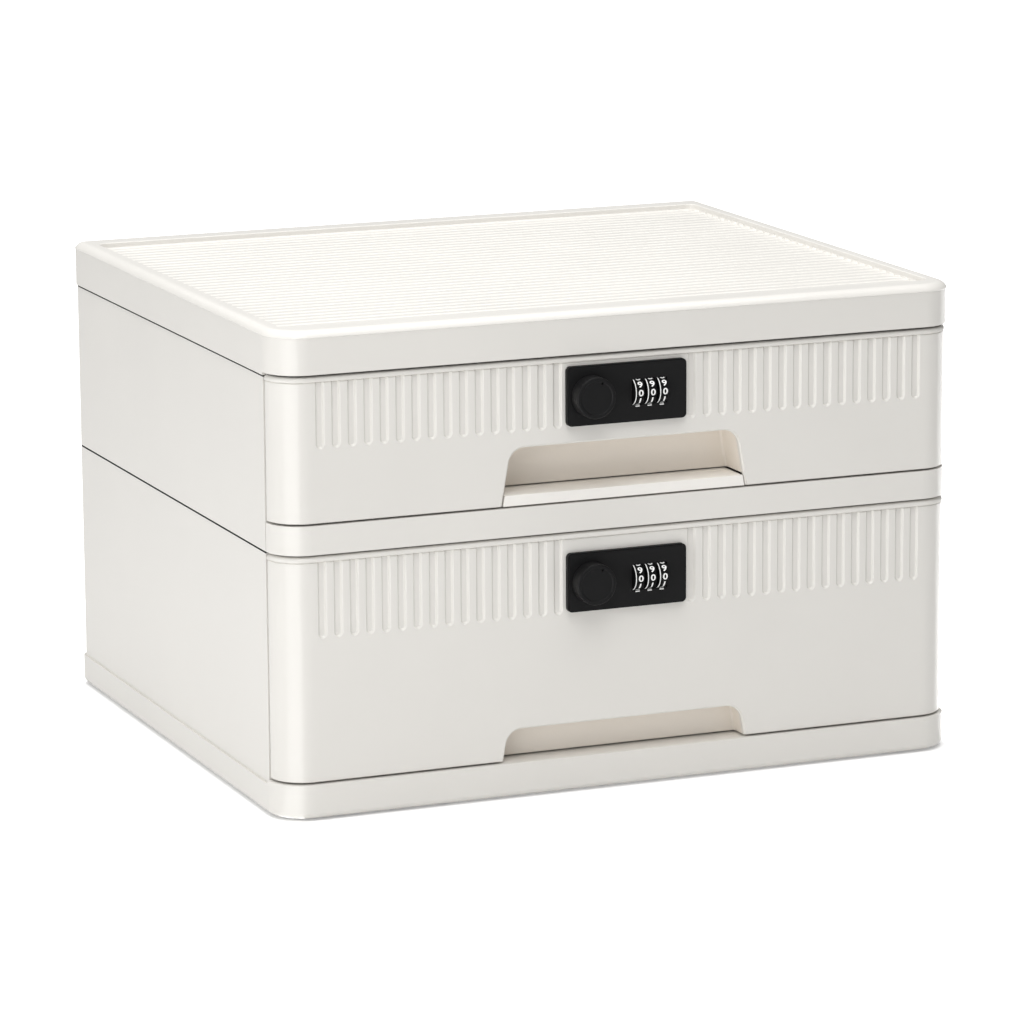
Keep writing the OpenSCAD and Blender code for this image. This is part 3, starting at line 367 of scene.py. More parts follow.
def turned(centre, axis, profile, steps=48, start=0.0):
    """A profile of (radius, distance along the axis) points carried round the X, Y or Z axis."""
    profile = np.asarray(profile, float)
    angle = start + np.arange(steps) * 2 * math.pi / steps
    r, along = profile[:, :1], profile[:, 1:]
    a, b, t = r * np.cos(angle), r * np.sin(angle), np.broadcast_to(along, (len(profile), steps))
    order = {"x": (t, a, b), "y": (b, t, a), "z": (a, b, t)}[axis]
    return skin(np.stack(order, -1) + np.asarray(centre, float), close_cols=True)


def quarter(count):
    """Pairs (how far in, how far up) along a quarter round of radius 1, from wall to top."""
    a = np.linspace(0.0, math.pi / 2, count)
    return np.stack([1 - np.cos(a), np.sin(a)], -1)


def cover_rim():
    """The profile of skirt, rounded edge, rim and recess wall, carried round the plan. Each row is
    the plan drawn in by inset, or the recess widened by grow, at its own height."""
    sides = (18.2, 18.39, 18.41, 18.8, 60, 165, 270)

    def foot(y):
        """Height of the skirt's foot: higher in front, where it meets the upper drawer."""
        return np.where(y < CORNER + 0.4, 229.5, 228.0)

    def plan(inset, z):
        """The cabinet's plan, smaller by inset on every side."""
        return ring(WIDTH / 2 - inset, inset, DEPTH - inset, CORNER - inset, z, sides,
                    rear=REAR - inset)

    def recess(grow, z):
        """The sunk panel's outline, larger by grow on every side."""
        return ring(RECESS_HALF + grow, RECESS_FRONT - grow, RECESS_REAR + grow, RECESS_R + grow,
                    z, sides)

    rows = [plan(2.2, CEILING), plan(1.3, 246.4), plan(1.0, 245.5)]
    rows += [plan(1.0, lambda y: foot(y) + 0.3), plan(0.7, foot), plan(-0.3, foot)]
    rows += [plan(-0.56, lambda y: foot(y) + 0.14), plan(-0.7, lambda y: foot(y) + 0.5)]
    rows += [plan(-0.7, 248.0), plan(-0.74, 248.2), plan(-0.9, 248.4)]
    rows += [plan(4.5 - RIM_EDGE * math.sin(t), RIM_TOP - RIM_EDGE * (1 - math.cos(t)))
             for t in np.radians(np.linspace(63.4, 0, 12))]
    rows += [plan(5.6, RIM_TOP)]
    rows += [recess(WALL_EDGE * (1 - up), RIM_TOP - WALL_EDGE * drawn) for drawn, up in quarter(6)]
    rows += [recess(0, 249.7), recess(-0.15, 249.35), recess(-0.5, RIB_TOP), recess(-0.5, CEILING)]
    return skin(np.stack(rows + rows[:1]), close_cols=True)


def cover_panel():
    """The sunk panel: its height over Y drops by 0.5 in a groove at every 8.6 with smooth walls,
    its width follows the round corners, and each cross-section is a closed loop down to the
    ceiling."""
    grooves = 18.3 + PITCH * np.arange(35)
    half_groove, wall, drop, straight = 2.45, 0.6, 0.5, 176.2
    offset = np.array([0, 0.9, 1.85, 2.0, 2.15, 2.3, half_groove])
    offset = np.concatenate([-offset[:0:-1], offset])
    ends = 0.12 * np.arange(6)
    y = (grooves[:, None] + offset).ravel()
    y = np.unique(np.concatenate([y, 15.05 + ends, 313.95 - ends]))
    away = np.abs(y[:, None] - grooves).min(1)
    ramp = np.clip((half_groove - away) / wall, 0, 1)
    z = RIB_TOP - drop * ramp * ramp * (3 - 2 * ramp)
    bite = np.clip(RECESS_R - np.minimum(y - RECESS_FRONT, RECESS_REAR - y), 0, RECESS_R)
    half = straight + np.sqrt(np.maximum(RECESS_R ** 2 - bite * bite, 0))
    across = np.array([-1, -1, -0.5, 0.5, 1, 1.0])
    top = np.array([0, 1, 1, 1, 1, 0.0])
    loop = np.stack([half[:, None] * across, np.broadcast_to(y[:, None], (len(y), 6)),
                     CEILING + (z[:, None] - CEILING) * top], -1)
    closed = loop * (1, 1, 0) + (0, 0, CEILING)
    return skin(np.concatenate([closed[:1], loop, closed[-1:]]), close_cols=True)


stiff, stiff_foot, buried = 0.9, 241.2, 247     # half of a stiffening rib, its foot, its hidden top
under_cover = [block(x - stiff, 30, stiff_foot, x + stiff, 300, buried)
               for x in (-120, -60, 60, 120)]
under_cover += [block(-172, y - stiff, stiff_foot, 172, y + stiff, buried) for y in (90, 165, 240)]
under_cover += [block(-45.8, 22, 230.5, 4.2, 25, buried)]       # the rib behind the upper cam
boss = [(1.55, 239.7), (1.55, 227.6), (1.9, 227.2), (3.3, 227.2), (3.6, 227.5), (3.6, buried),
        (0, buried), (0, 239.7), (1.55, 239.7)]                 # radius and height
under_cover += [turned((x, y, 0), "z", boss, 32) for x in (-183.8, 183.8) for y in (40, 290)]
piece("lid", [cover_rim(), cover_panel(), *under_cover], shell_white, "cabinet", "shell",
      "top_cover")

# ---------- Drawer trays ----------
# Each drawer's body: an open tray with a sliding rib along each side, in a white a little brighter
# than the shell's as painted light, so that the upper tray's step looks lit. That step shows at the
# foot of its grip cut-out.

# painted light: a brighter copy of the shell's white, so the tray's step looks lit
tray_white_painted_lit = grained("tray_white_painted_lit", (0.90, 0.875, 0.83), 0.44, tone=0.015)
finish_node("lower_tray", tray_white_painted_lit, 0.4)
finish_node("upper_tray", tray_white_painted_lit, 0.5)

# ---------- Drawer fronts ----------
# The moulded faces: they wrap both corners, carry a raised lip along the top and two groups of
# upright grooves with round feet, and are cut out below for the grip with a pocket behind, whose
# deep surfaces are tinted warmer as painted bounce light.

LOCK_Z = {"lower": 110.9, "upper": 208.2}       # height of each lock's axis
FACE, INNER = 0.5, 3.0                # how far the face and its inner side lie inside the plan
GROOVE_HALF, GROOVE_DEEP = 2.1, 1.2   # radius of a groove's round foot, and its depth
GROOVE_EDGE, GROOVE_WALL = 2.5, 1.18  # where a groove's wall meets the face, and the wall's width
CELL = 4.3                            # half of the pitch: the field that belongs to one groove
FAN = np.radians(11.25)               # angle between the points round a groove's foot
FIELD, FIELD_END = 33.3, 170.9        # where a group of grooves starts and ends
LOCK_HALF_X, LOCK_HALF_Z = 30.3, 12.8     # half of the lock's opening
LIP, LIP_R = 2.6, 2.4                 # height of the lip and radius of its upper edge
FOOT_R, END_R = 0.6, 0.4              # radii of the face's lower edge and of its two ends
GRIP_R, POCKET_UP, POCKET_WALL = 0.8, 3.5, 2     # grip's edge, pocket above it, pocket's wall
STRAIGHT = WIDTH / 2 - CORNER         # half of the face's straight part
LAST_C = STRAIGHT + CORNER * math.pi / 2      # its half width with the round corner unrolled
groove_x = 37.6 + PITCH * np.arange(16)


def rounding(distance, r):
    """How far a surface draws back near an edge rounded by r, at some distance from the edge."""
    t = np.clip(r - distance, 0, r)
    return r - np.sqrt(np.maximum(r * r - t * t, 0))


def groove_depth(away):
    """Depth of a groove at some distance from its middle line: flat within 1.32, then a wall that
    rises evenly to the face at 2.5, its two ends eased: share = 0.6 t + 0.4 t t (3 - 2 t)."""
    t = np.clip((GROOVE_EDGE - away) / GROOVE_WALL, 0, 1)
    return GROOVE_DEEP * (0.6 * t + 0.4 * t * t * (3 - 2 * t))


def on_front(c, z, inset):
    """A point of the front: c runs along the straight face and on round both corners, inset is
    how far it lies inside the cabinet's plan."""
    c, z, inset = np.broadcast_arrays(np.asarray(c, float), z, inset)
    bend = np.clip(np.abs(c) - STRAIGHT, 0, None) / CORNER
    x = np.clip(c, -STRAIGHT, STRAIGHT) + np.sign(c) * np.sin(bend) * (CORNER - inset)
    return np.stack([x, CORNER - np.cos(bend) * (CORNER - inset), z], -1)


def middles(places):
    """The places half-way between neighbouring ones."""
    return (places[:-1] + places[1:]) / 2


def grip_reach(angle, h, grow, foot):
    """Distance from the middle of a grip's foot to its outline, in each direction: leaning sides
    and two round upper corners, everything moved outwards by grow."""
    slant, r = math.radians(10), 9 + grow
    half, top = 68.5 + grow / math.cos(slant), h + grow
    arc = np.linspace(slant, math.pi / 2, 60)
    x = half - (top - r) * math.tan(slant) - r / math.cos(slant) + r * np.cos(arc)
    z = top - r + r * np.sin(arc)
    low = np.linspace(foot, z[0], 30)[:-1]
    x = np.concatenate([half - low * math.tan(slant), x, [0.0]])
    z = np.concatenate([low, z, [top]]) - foot
    fine = np.linspace(0, 1, 4000) * (len(x) - 1)
    x, z = np.interp(fine, np.arange(len(x)), x), np.interp(fine, np.arange(len(z)), z)
    folded = np.where(angle > math.pi / 2, math.pi - angle, angle)
    return np.interp(folded, np.arctan2(z, x), np.hypot(x, z))


def drawer_front(z0, z1, lock_z, groove_l, grip_h, grip_d, pocket_z, screw_levels):
    """All skins of one front. The face is worked out in blocks that share their border points:
    plain face, a fan of points round each groove, the lip, and rings that lead from the face
    into the grip's pocket. Every outer point has a mate on the inner side, and the borders join."""
    grid = []

    def face_inset(c, z, deep=0.0):
        """Inset of the face: its own, a groove's depth, a fine line under the lip, and the
        roundings of the lower edge and of both ends."""
        under_lip = 0.4 * np.clip(1 - np.abs(z1 - 2.9 - z) / 0.45, 0, 1)
        edges = rounding(z - z0, FOOT_R), rounding(LAST_C - np.abs(c), END_R)
        return FACE + deep + under_lip + edges[0] + edges[1]

    def add(c, z, inset, keep=None):
        """One block of the face with the mates straight behind it; keep marks the faces it has."""
        outer, inner = on_front(c, z, inset), on_front(c, z, INNER)
        faces = quads(*outer.shape[:2])
        if keep is not None:
            faces = faces[keep.ravel()]
        grid.append((np.concatenate([outer, inner], -1).reshape(-1, 6), faces))

    # The plain face below the grooves, without the grip.
    fan = CELL * np.tan(FAN * np.arange(-4, 5))
    lip_z = z1 - LIP
    feet_z = lip_z - groove_l + GROOVE_HALF
    border = feet_z - CELL
    corner_c = np.concatenate([[FIELD_END], STRAIGHT + CORNER * np.radians(np.arange(0, 87, 4.5)),
                               LAST_C - np.array([END_R, 0.25, 0.12, 0.04, 0])]).round(6)
    middle = np.array([-FIELD, -LOCK_HALF_X, -20, -10, 0, 10, 20, LOCK_HALF_X, FIELD])
    right = np.unique(np.round((groove_x[:, None] + fan).ravel(), 6))
    low_c = np.concatenate([-corner_c[::-1], -right[::-1], middle, right, corner_c])
    low_c = np.unique(np.round(low_c, 6))
    grip_half, grip_top = FIELD + 5 * PITCH, z0 + grip_h + 3.9
    rise = np.array([0.1, 0.2, 0.32, 0.44, 0.55, 0.65, 0.74, 0.83, 0.91])
    low_z = np.unique(np.round(np.concatenate([
        z0 + np.array([0, 0.05, 0.15, 0.32, FOOT_R]), z0 + rise * (grip_top - z0), [grip_top],
        np.linspace(grip_top, border, 4 if border - grip_top < 20 else 7)]), 6))
    c, z = np.meshgrid(low_c, low_z)
    in_grip = (np.abs(middles(low_c))[None] < grip_half) & (middles(low_z)[:, None] < grip_top)
    add(c, z, face_inset(c, z), keep=~in_grip)

    # The round corners, and the middle with its opening for the lock.
    up_z = np.concatenate([feet_z + fan[:5], [lock_z - LOCK_HALF_Z, lock_z + LOCK_HALF_Z],
                           lip_z - np.array([0.76, 0.6, 0.45, 0.3, 0.08])])
    for side in (-1, 1):
        c, z = np.meshgrid(np.sort(side * corner_c), up_z)
        add(c, z, face_inset(c, z))
    c, z = np.meshgrid(middle, up_z)
    in_lock = ((np.abs(middles(middle))[None] < LOCK_HALF_X)
               & (np.abs(middles(up_z) - lock_z) < LOCK_HALF_Z)[:, None])
    add(c, z, face_inset(c, z), keep=~in_lock)

    # The grooves: straight sides with a half circle of points round each foot.
    reach = np.array([CELL, 2.62, GROOVE_EDGE, 2.36, 2.18, 2.0, 1.82, 1.64, 1.46, 1.32, 1.2, 0.0])
    deep = groove_depth(reach)
    turn = np.radians(180 + 11.25 * np.arange(17))
    stretch = 1 / np.maximum(np.abs(np.cos(turn)), np.abs(np.sin(turn)))
    push = np.where(reach[None] == CELL, stretch[:, None], 1.0)
    straights = up_z[:4:-1]
    side_x = np.broadcast_to(reach, (len(straights), len(reach)))
    side_z = np.broadcast_to(straights[:, None], side_x.shape)
    for centre in np.concatenate([-groove_x, groove_x]):
        arc_x = centre + reach * np.cos(turn)[:, None] * push
        arc_z = feet_z + reach * np.sin(turn)[:, None] * push
        c = np.concatenate([centre - side_x, arc_x, centre + side_x])
        z = np.concatenate([side_z, arc_z, side_z[::-1]])
        add(c, z, face_inset(c, z, deep[None]))

    # The lip along the top.
    across = np.concatenate([-reach, reach[::-1]])
    lip_c = np.concatenate([corner_c, -corner_c, middle, (groove_x[:, None] + across).ravel(),
                            (-groove_x[:, None] + across).ravel()])
    lip_c = np.unique(np.round(lip_c, 6))
    away = np.abs(np.abs(lip_c)[:, None] - groove_x).min(1)
    low_inset = face_inset(lip_c, lip_z - 0.08, groove_depth(away))
    top = LIP_R * (1 - quarter(8)[:, 1])
    c, z = np.meshgrid(lip_c, np.concatenate([[lip_z - 0.08, lip_z - 0.02, lip_z + 0.1], z1 - top]))
    inset = rounding(z1 - z, LIP_R) + rounding(LAST_C - np.abs(c), END_R)
    inset[0], inset[1] = low_inset, inset[1] + 0.12
    add(c, z, inset)

    # The grip: from its border on the face round its edge, in through the face and into the pocket.
    side_rows = low_z[low_z <= grip_top + 1e-6]
    top_cols = low_c[np.abs(low_c) < grip_half - 1e-3]
    around_x = np.concatenate([np.full(len(side_rows), -grip_half), top_cols,
                               np.full(len(side_rows), grip_half)])
    around_z = np.concatenate([side_rows, np.full(len(top_cols), grip_top), side_rows[::-1]])
    angle = np.arctan2(around_z - z0, around_x)

    def outline(h, grow, foot):
        """The grip's outline met in the directions of the border's points."""
        far = grip_reach(angle, h, grow, foot)
        return far * np.cos(angle), z0 + foot + far * np.sin(angle)

    foot, pocket_h = pocket_z - z0, grip_h + POCKET_UP
    rings = [on_front(around_x, around_z, face_inset(around_x, around_z))]
    mates = [on_front(around_x, around_z, INNER)]
    wall_x, wall_z = outline(pocket_h, POCKET_WALL, 0)
    wall_mate = np.stack([wall_x, np.full(len(wall_x), INNER), wall_z], -1)
    for drawn, up in quarter(7)[::-1]:
        back = GRIP_R * drawn
        x, z = outline(grip_h, GRIP_R * up, 0)
        depth = FACE + GRIP_R - back + rounding(z - z0, FOOT_R) * (back > 0.1)
        rings.append(np.stack([x, depth, z], -1))
    rings.append(rings[-1] * (1, 0, 1) + (0, INNER, 0))
    mates += [wall_mate] * (len(rings) - 1)
    outer_x, outer_z = outline(pocket_h, POCKET_WALL, foot)
    outer_d = grip_d + POCKET_WALL
    for inward, depth, mate_depth in ((0, INNER, INNER), (0, grip_d - 1.5, grip_d + 1.2),
                                      (0.2, grip_d - 0.7, outer_d), (0.7, grip_d - 0.2, outer_d),
                                      (1.5, grip_d, outer_d)):
        x, z = outline(pocket_h, -inward, foot)
        rings.append(np.stack([x, np.full(len(x), depth), z], -1))
        mates.append(np.stack([outer_x, np.full(len(x), mate_depth), outer_z], -1))
    middle_foot, last_ring, last_mate = np.array([0, 0, pocket_z]), rings[-1], mates[-1]
    for share in (0.6, 0.3, 0.0):
        rings.append(middle_foot + (last_ring - middle_foot) * (share, 1, share))
        mates.append(middle_foot + (last_mate - middle_foot) * (share, 1, share))
    pair = np.concatenate([np.stack(rings), np.stack(mates)], -1)
    grid.append((pair.reshape(-1, 6), quads(*pair.shape[:2])))

    # One closed shell: equal points merged, then a strip along every edge that has one face only.
    points, faces = joined(grid)
    points, where = np.unique(np.round(points, 5), axis=0, return_inverse=True)
    faces = where.reshape(-1)[faces]
    count = len(points)
    edges = np.concatenate([faces[:, [k, (k + 1) % 4]] for k in range(4)])
    edges = edges[edges[:, 0] != edges[:, 1]]
    key = edges.min(1) * count + edges.max(1)
    _, first, uses = np.unique(key, return_index=True, return_counts=True)
    a, b = edges[first[uses == 1]].T
    strips = np.stack([a, b, b + count, a + count], -1)
    shell = (np.concatenate([points[:, :3], points[:, 3:]]),
             np.concatenate([faces, faces[:, ::-1] + count, strips]))

    flange = block(-178, 2.7, z1 - 2.2, 178, 11.2, z1 - 0.02)
    boss = [(0, 2.7), (4.2, 2.7), (4, 3.4), (4, 8.8), (3.8, 9), (1.8, 9), (1.55, 8.8), (1.55, 3.6),
            (0, 3.6)]
    bosses = [turned((x, 0, level), "y", boss, 32) for x in (-150, 150) for level in screw_levels]
    return [shell, flange, *bosses]


def build_pocket_group():
    """Painted bounce light: colour turned a little warmer where the surface lies deep behind the
    face, standing in for light that has bounced about in a grip pocket: share = smooth step from 2
    to 5 mm behind the front plane, within 75 mm of the middle."""
    group, given, result, axes = colour_group("pocket_painted_bounce")
    share = add_node(group, "ShaderNodeMapRange",
                     {"From Min": (FRONT + 2) * MM, "From Max": (FRONT + 5) * MM},
                     interpolation_type="SMOOTHSTEP")
    near = add_node(group, "ShaderNodeMath", {1: 0.0, 2: 0.075}, operation="COMPARE")
    inside = add_node(group, "ShaderNodeMath", operation="MULTIPLY")
    warm = add_node(group, "ShaderNodeVectorMath", {1: (1.15, 1.10, 1.05)}, operation="MULTIPLY")
    blend = add_node(group, "ShaderNodeMix", data_type="RGBA")
    wire = group.links.new
    wire(axes.outputs["Y"], share.inputs["Value"])
    wire(given.outputs[0], warm.inputs[0])
    wire(axes.outputs["X"], near.inputs[0])
    wire(share.outputs[0], inside.inputs[0])
    wire(near.outputs[0], inside.inputs[1])
    wire(inside.outputs[0], blend.inputs["Factor"])
    wire(given.outputs[0], blend.inputs["A"])
    wire(warm.outputs[0], blend.inputs["B"])
    wire(blend.outputs["Result"], result.inputs[0])
    return group


# the faces' finish, with painted bounce light in the grip pockets
face_white_painted_bounce = tinted_copy(shell_white, "face_white_painted_bounce", build_pocket_group())
lower_front = drawer_front(z0=19.5, z1=136.5, lock_z=LOCK_Z["lower"], groove_l=39.5, grip_h=16.5,
                           grip_d=13, pocket_z=19.5, screw_levels=(34.3, 121.0))
upper_front = drawer_front(z0=153.5, z1=228.5, lock_z=LOCK_Z["upper"], groove_l=34, grip_h=30,
                           grip_d=22, pocket_z=159.8, screw_levels=(168.3, 213.0))
piece("lower_face", lower_front, face_white_painted_bounce, "lower_drawer", "shell", "lower_front")
piece("upper_face", upper_front, face_white_painted_bounce, "upper_drawer", "shell", "upper_front")
for tier in ("lower", "upper"):
    finish_node(f"{tier}_front_screws", zinc)

# ---------- Lock cases ----------
# The escutcheon and the case behind it are one black moulding with a fine matte grain; a lid
# closes the case and a pressed steel bridge clamps it from behind with two screws.

lock_black = grained("lock_black", (0.0075, 0.0075, 0.0078), 0.55,
                     tone=0.10, fineness=2300.0, depth=0.35, change=0.05, Specular_IOR_Level=0.16)
inside_parts = ("lock_bridge", "lock_screws", "lock_gate", "dial_axle", "lock_cam", "cam_screw",
                "detent_spring")
for tier in ("lower", "upper"):
    finish_node(f"{tier}_lock_bezel", lock_black, 0.35)
    finish_node(f"{tier}_lock_back_cover", lock_black, 0.25)
    for part in inside_parts:
        finish_node(f"{tier}_{part}", zinc)

# ---------- Knobs ----------
# A round black knob: a raised ring round a slightly sunk face, with a small pointer notch, and
# the spindle that carries the cam behind it.

KNOB_X = -20.8
POINTER = 23            # the notch's direction in degrees, clockwise from the top


def knob_skin(z):
    """The knob's profile carried round the Y axis, sunk where the pointer notch is: a slot with
    round ends and soft walls, 0.8 wide and 0.8 deep, from radius 7.35 to 8.85."""
    r = np.concatenate([[0], np.linspace(2, 6.9, 4), np.linspace(7.1, 9.1, 13), [9.3, 9.6, 9.9]])
    front = np.interp(r, [8.4, 8.55, 8.75, 8.95], [-11.1, -11.12, -11.35, -11.5])
    edge = [(9.95 + 0.8 * u, -11.5 + 0.8 * i) for i, u in quarter(6)]
    side = [(10.75, -5.0), (10.75, -3.6), (10.55, -3.3)]
    spindle = [(4.0, -3.3), (4.0, 27.0), (3.7, 27.3), (0, 27.3)]
    profile = np.array([*zip(r, front), *edge, *side, *spindle])
    notch_turns = POINTER + np.linspace(-7, 7, 21)
    turn = np.radians(np.unique(np.concatenate([np.arange(0, 360, 5.0), notch_turns])))
    radius, along = profile[:, :1], np.repeat(profile[:, 1:], len(turn), 1)
    past = turn - math.radians(POINTER)
    out, over = radius * np.cos(past), radius * np.sin(past)
    away = np.hypot(np.maximum(np.abs(out - 8.1) - 0.35, 0), over) - 0.4
    sunk = np.clip((0.12 - away) / 0.3, 0, 1)
    along += 0.8 * sunk * sunk * (3 - 2 * sunk) * (along < -10)
    points = np.stack([KNOB_X + radius * np.sin(turn), along, z + radius * np.cos(turn)], -1)
    return skin(points, close_cols=True)


knob_black = grained("knob_black", (0.0072, 0.0072, 0.0076), 0.5,
                     tone=0.08, fineness=2600.0, depth=0.22, change=0.05, Specular_IOR_Level=0.16)
collar = [(0, 8.9), (5.5, 8.9), (5.5, 10.4), (0, 10.4)]         # radius and distance along Y
for tier, z in LOCK_Z.items():
    piece(f"{tier}_knob_cap", [knob_skin(z), turned((KNOB_X, 0, z), "y", collar, 40)],
          knob_black, f"{tier}_knob", "knob_black", f"{tier}_lock_knob")

# ---------- Number dials ----------
# Three black drums on an axle, each with ten places and a finger notch between each two. Digits
# are printed on each drum in white, slightly raised, a white line along each drum's left edge is a
# painted highlight, and a white dash under each window is printed on the bezel.

DIAL_X = {"left": 5.5, "middle": 12.3, "right": 19.1}
DIAL_Y, DIAL_R = 0.2, 7.2       # the axle's place behind the plan's front, and the drum's radius
PLACE = 36                      # degrees from one digit to the next


def on_drum(x, z, across, radius, turn):
    """Rows of points carried round a drum's axle: sideways by across, and turn = 0 faces front."""
    across, radius, turn = np.broadcast_arrays(x + across, radius, turn)
    return skin(np.stack([across, DIAL_Y - radius * np.cos(turn), z + radius * np.sin(turn)], -1),
                close_cols=True)


def dial_skin(x, z):
    """A drum round the X axis whose radius dips by 0.5 in a rounded notch half-way between places;
    the notches stop short of its left rim."""
    degrees = np.arange(0, 360, 1.5)
    turn = np.radians(degrees)
    away = np.radians(np.abs(degrees % PLACE - PLACE / 2)) * DIAL_R
    dip = np.clip(np.sqrt(np.maximum(0.9 ** 2 - away * away, 0)) - 0.4, 0, None)
    edge = np.array([(7.2, 1.9), (7.15, 2.15), (7.02, 2.4), (6.75, 2.62), (6.3, 2.7), (1.6, 2.7)])
    profile = np.concatenate([edge[::-1] * (1, -1), [(7.2, -1.6), (7.2, 0)], edge, [(1.6, -2.7)]])
    share = np.clip((profile[:, :1] - 6) / 0.6, 0, 1) * (profile[:, 1:] > -1.8)
    return on_drum(x, z, profile[:, 1:], profile[:, :1] - dip * share, turn)


def digit_skins(x, z):
    """Ten printed digits bent round the drum: the sideways place stays, the height becomes an
    angle. Each triangle gets four corners of its own, the last one equal to the first."""
    points = []
    for number in range(10):
        text = bpy.data.curves.new("digit", "FONT")
        text.body, text.align_x, text.size = str(number), "CENTER", 4.6
        text.extrude, text.offset, text.resolution_u = 0.06, 0.1, 4
        holder = bpy.data.objects.new("digit", text)
        bpy.context.scene.collection.objects.link(holder)
        work = bmesh.new()
        work.from_mesh(holder.to_mesh())
        for level in np.arange(-0.2, 3.6, 0.35):
            bmesh.ops.bisect_plane(work, geom=work.verts[:] + work.edges[:] + work.faces[:],
                                   dist=1e-5, plane_co=(0, level, 0), plane_no=(0, 1, 0))
        bmesh.ops.triangulate(work, faces=work.faces[:])
        flat = np.array([v.co for v in work.verts])
        tris = np.array([[v.index for v in f.verts] for f in work.faces])
        work.free()
        bpy.data.objects.remove(holder)
        bpy.data.curves.remove(text)
        middle = (flat.min(0) + flat.max(0)) / 2
        sideways = x + 0.3 + (flat[:, 0] - middle[0]) * 1.22
        angle = (flat[:, 1] - middle[1]) / DIAL_R - math.radians(PLACE) * number
        radius = DIAL_R + 0.01 + flat[:, 2] * 0.5
        bent = np.stack([sideways, DIAL_Y - radius * np.cos(angle), z + radius * np.sin(angle)], -1)
        points.append(bent[np.concatenate([tris, tris[:, :1]], 1).ravel()])
    points = np.concatenate(points)
    return points, np.arange(len(points)).reshape(-1, 4)


def rim_line(x, z):
    """A painted highlight on a drum's left edge, where the light falls: a thin white closed band
    just outside the drum's profile.
    """
    turn = np.radians(np.arange(0, 360, 3.0))
    profile = np.array([(6.92, -2.5), (6.96, -2.54), (7.08, -2.44), (7.16, -2.28), (7.19, -2.16),
                        (7.12, -2.14), (7.04, -2.32), (6.92, -2.5)])
    return on_drum(x, z, profile[:, 1:], profile[:, :1], turn)


dial_black = grained("dial_black", (0.005, 0.005, 0.0055), 0.5,
                     tone=0.08, fineness=3000.0, depth=0.15, change=0.05, Specular_IOR_Level=0.1)
# white for the printed digits and dashes, and for the painted highlight on each drum's left edge
print_and_highlight_white = grained("print_and_highlight_white", (0.93, 0.93, 0.92), 0.5, tone=0.03, fineness=3500.0, depth=0.2)
for tier, z in LOCK_Z.items():
    for hand, x in DIAL_X.items():
        piece(f"{tier}_drum_{hand}", [dial_skin(x, z)], dial_black, f"{tier}_dial_{hand}",
              "dial_black", f"{tier}_dial_{hand}", crease=50)
        piece(f"{tier}_digits_{hand}", [digit_skins(x, z)], print_and_highlight_white, f"{tier}_dial_{hand}", None)
        # the painted highlight along the drum's left edge
        piece(f"{tier}_rim_line_{hand}", [rim_line(x, z)], print_and_highlight_white, f"{tier}_dial_{hand}", None)
    dashes = [block(x - 1.2, -3.03, z - 7.7, x + 1.2, -2.9, z - 7.1, edge=0.02)
              for x in DIAL_X.values()]
    piece(f"{tier}_index_marks", dashes, print_and_highlight_white, f"{tier}_drawer", None)

# ---------- Studio ----------
# A pale floor that runs out of view and glows as painted light: white to the camera but for a grey
# line at the base, and a painted reflection of a bright window in the shell. An even pale sky, soft
# boxes overhead, in front, at the left and behind, and the camera at the photo's viewing angle.

PLAN_MIDDLE = (0, (FRONT + DEPTH / 2) * MM, 0)
PLAN_CORNER = (-STRAIGHT * MM, (FRONT + CORNER) * MM, 0)      # centre of the left front round
ROUND_START = (0.1793, 0.1543, 1)     # half of the base's plan without its rounds; no limit in Z
# painted reflection: glow seen only in the shell's reflections, by direction round the left front
# corner
PAINTED_REFLECTION = ((-180, 0.0), (-146, 0.0), (-142, 0.14), (-92, 0.3), (-88, 0.0), (18.4, 0.0),
            (19.6, 0.55), (30, 0.42), (67.6, 0.26), (68.8, 0.02), (150, 0.0))     # degrees, glow


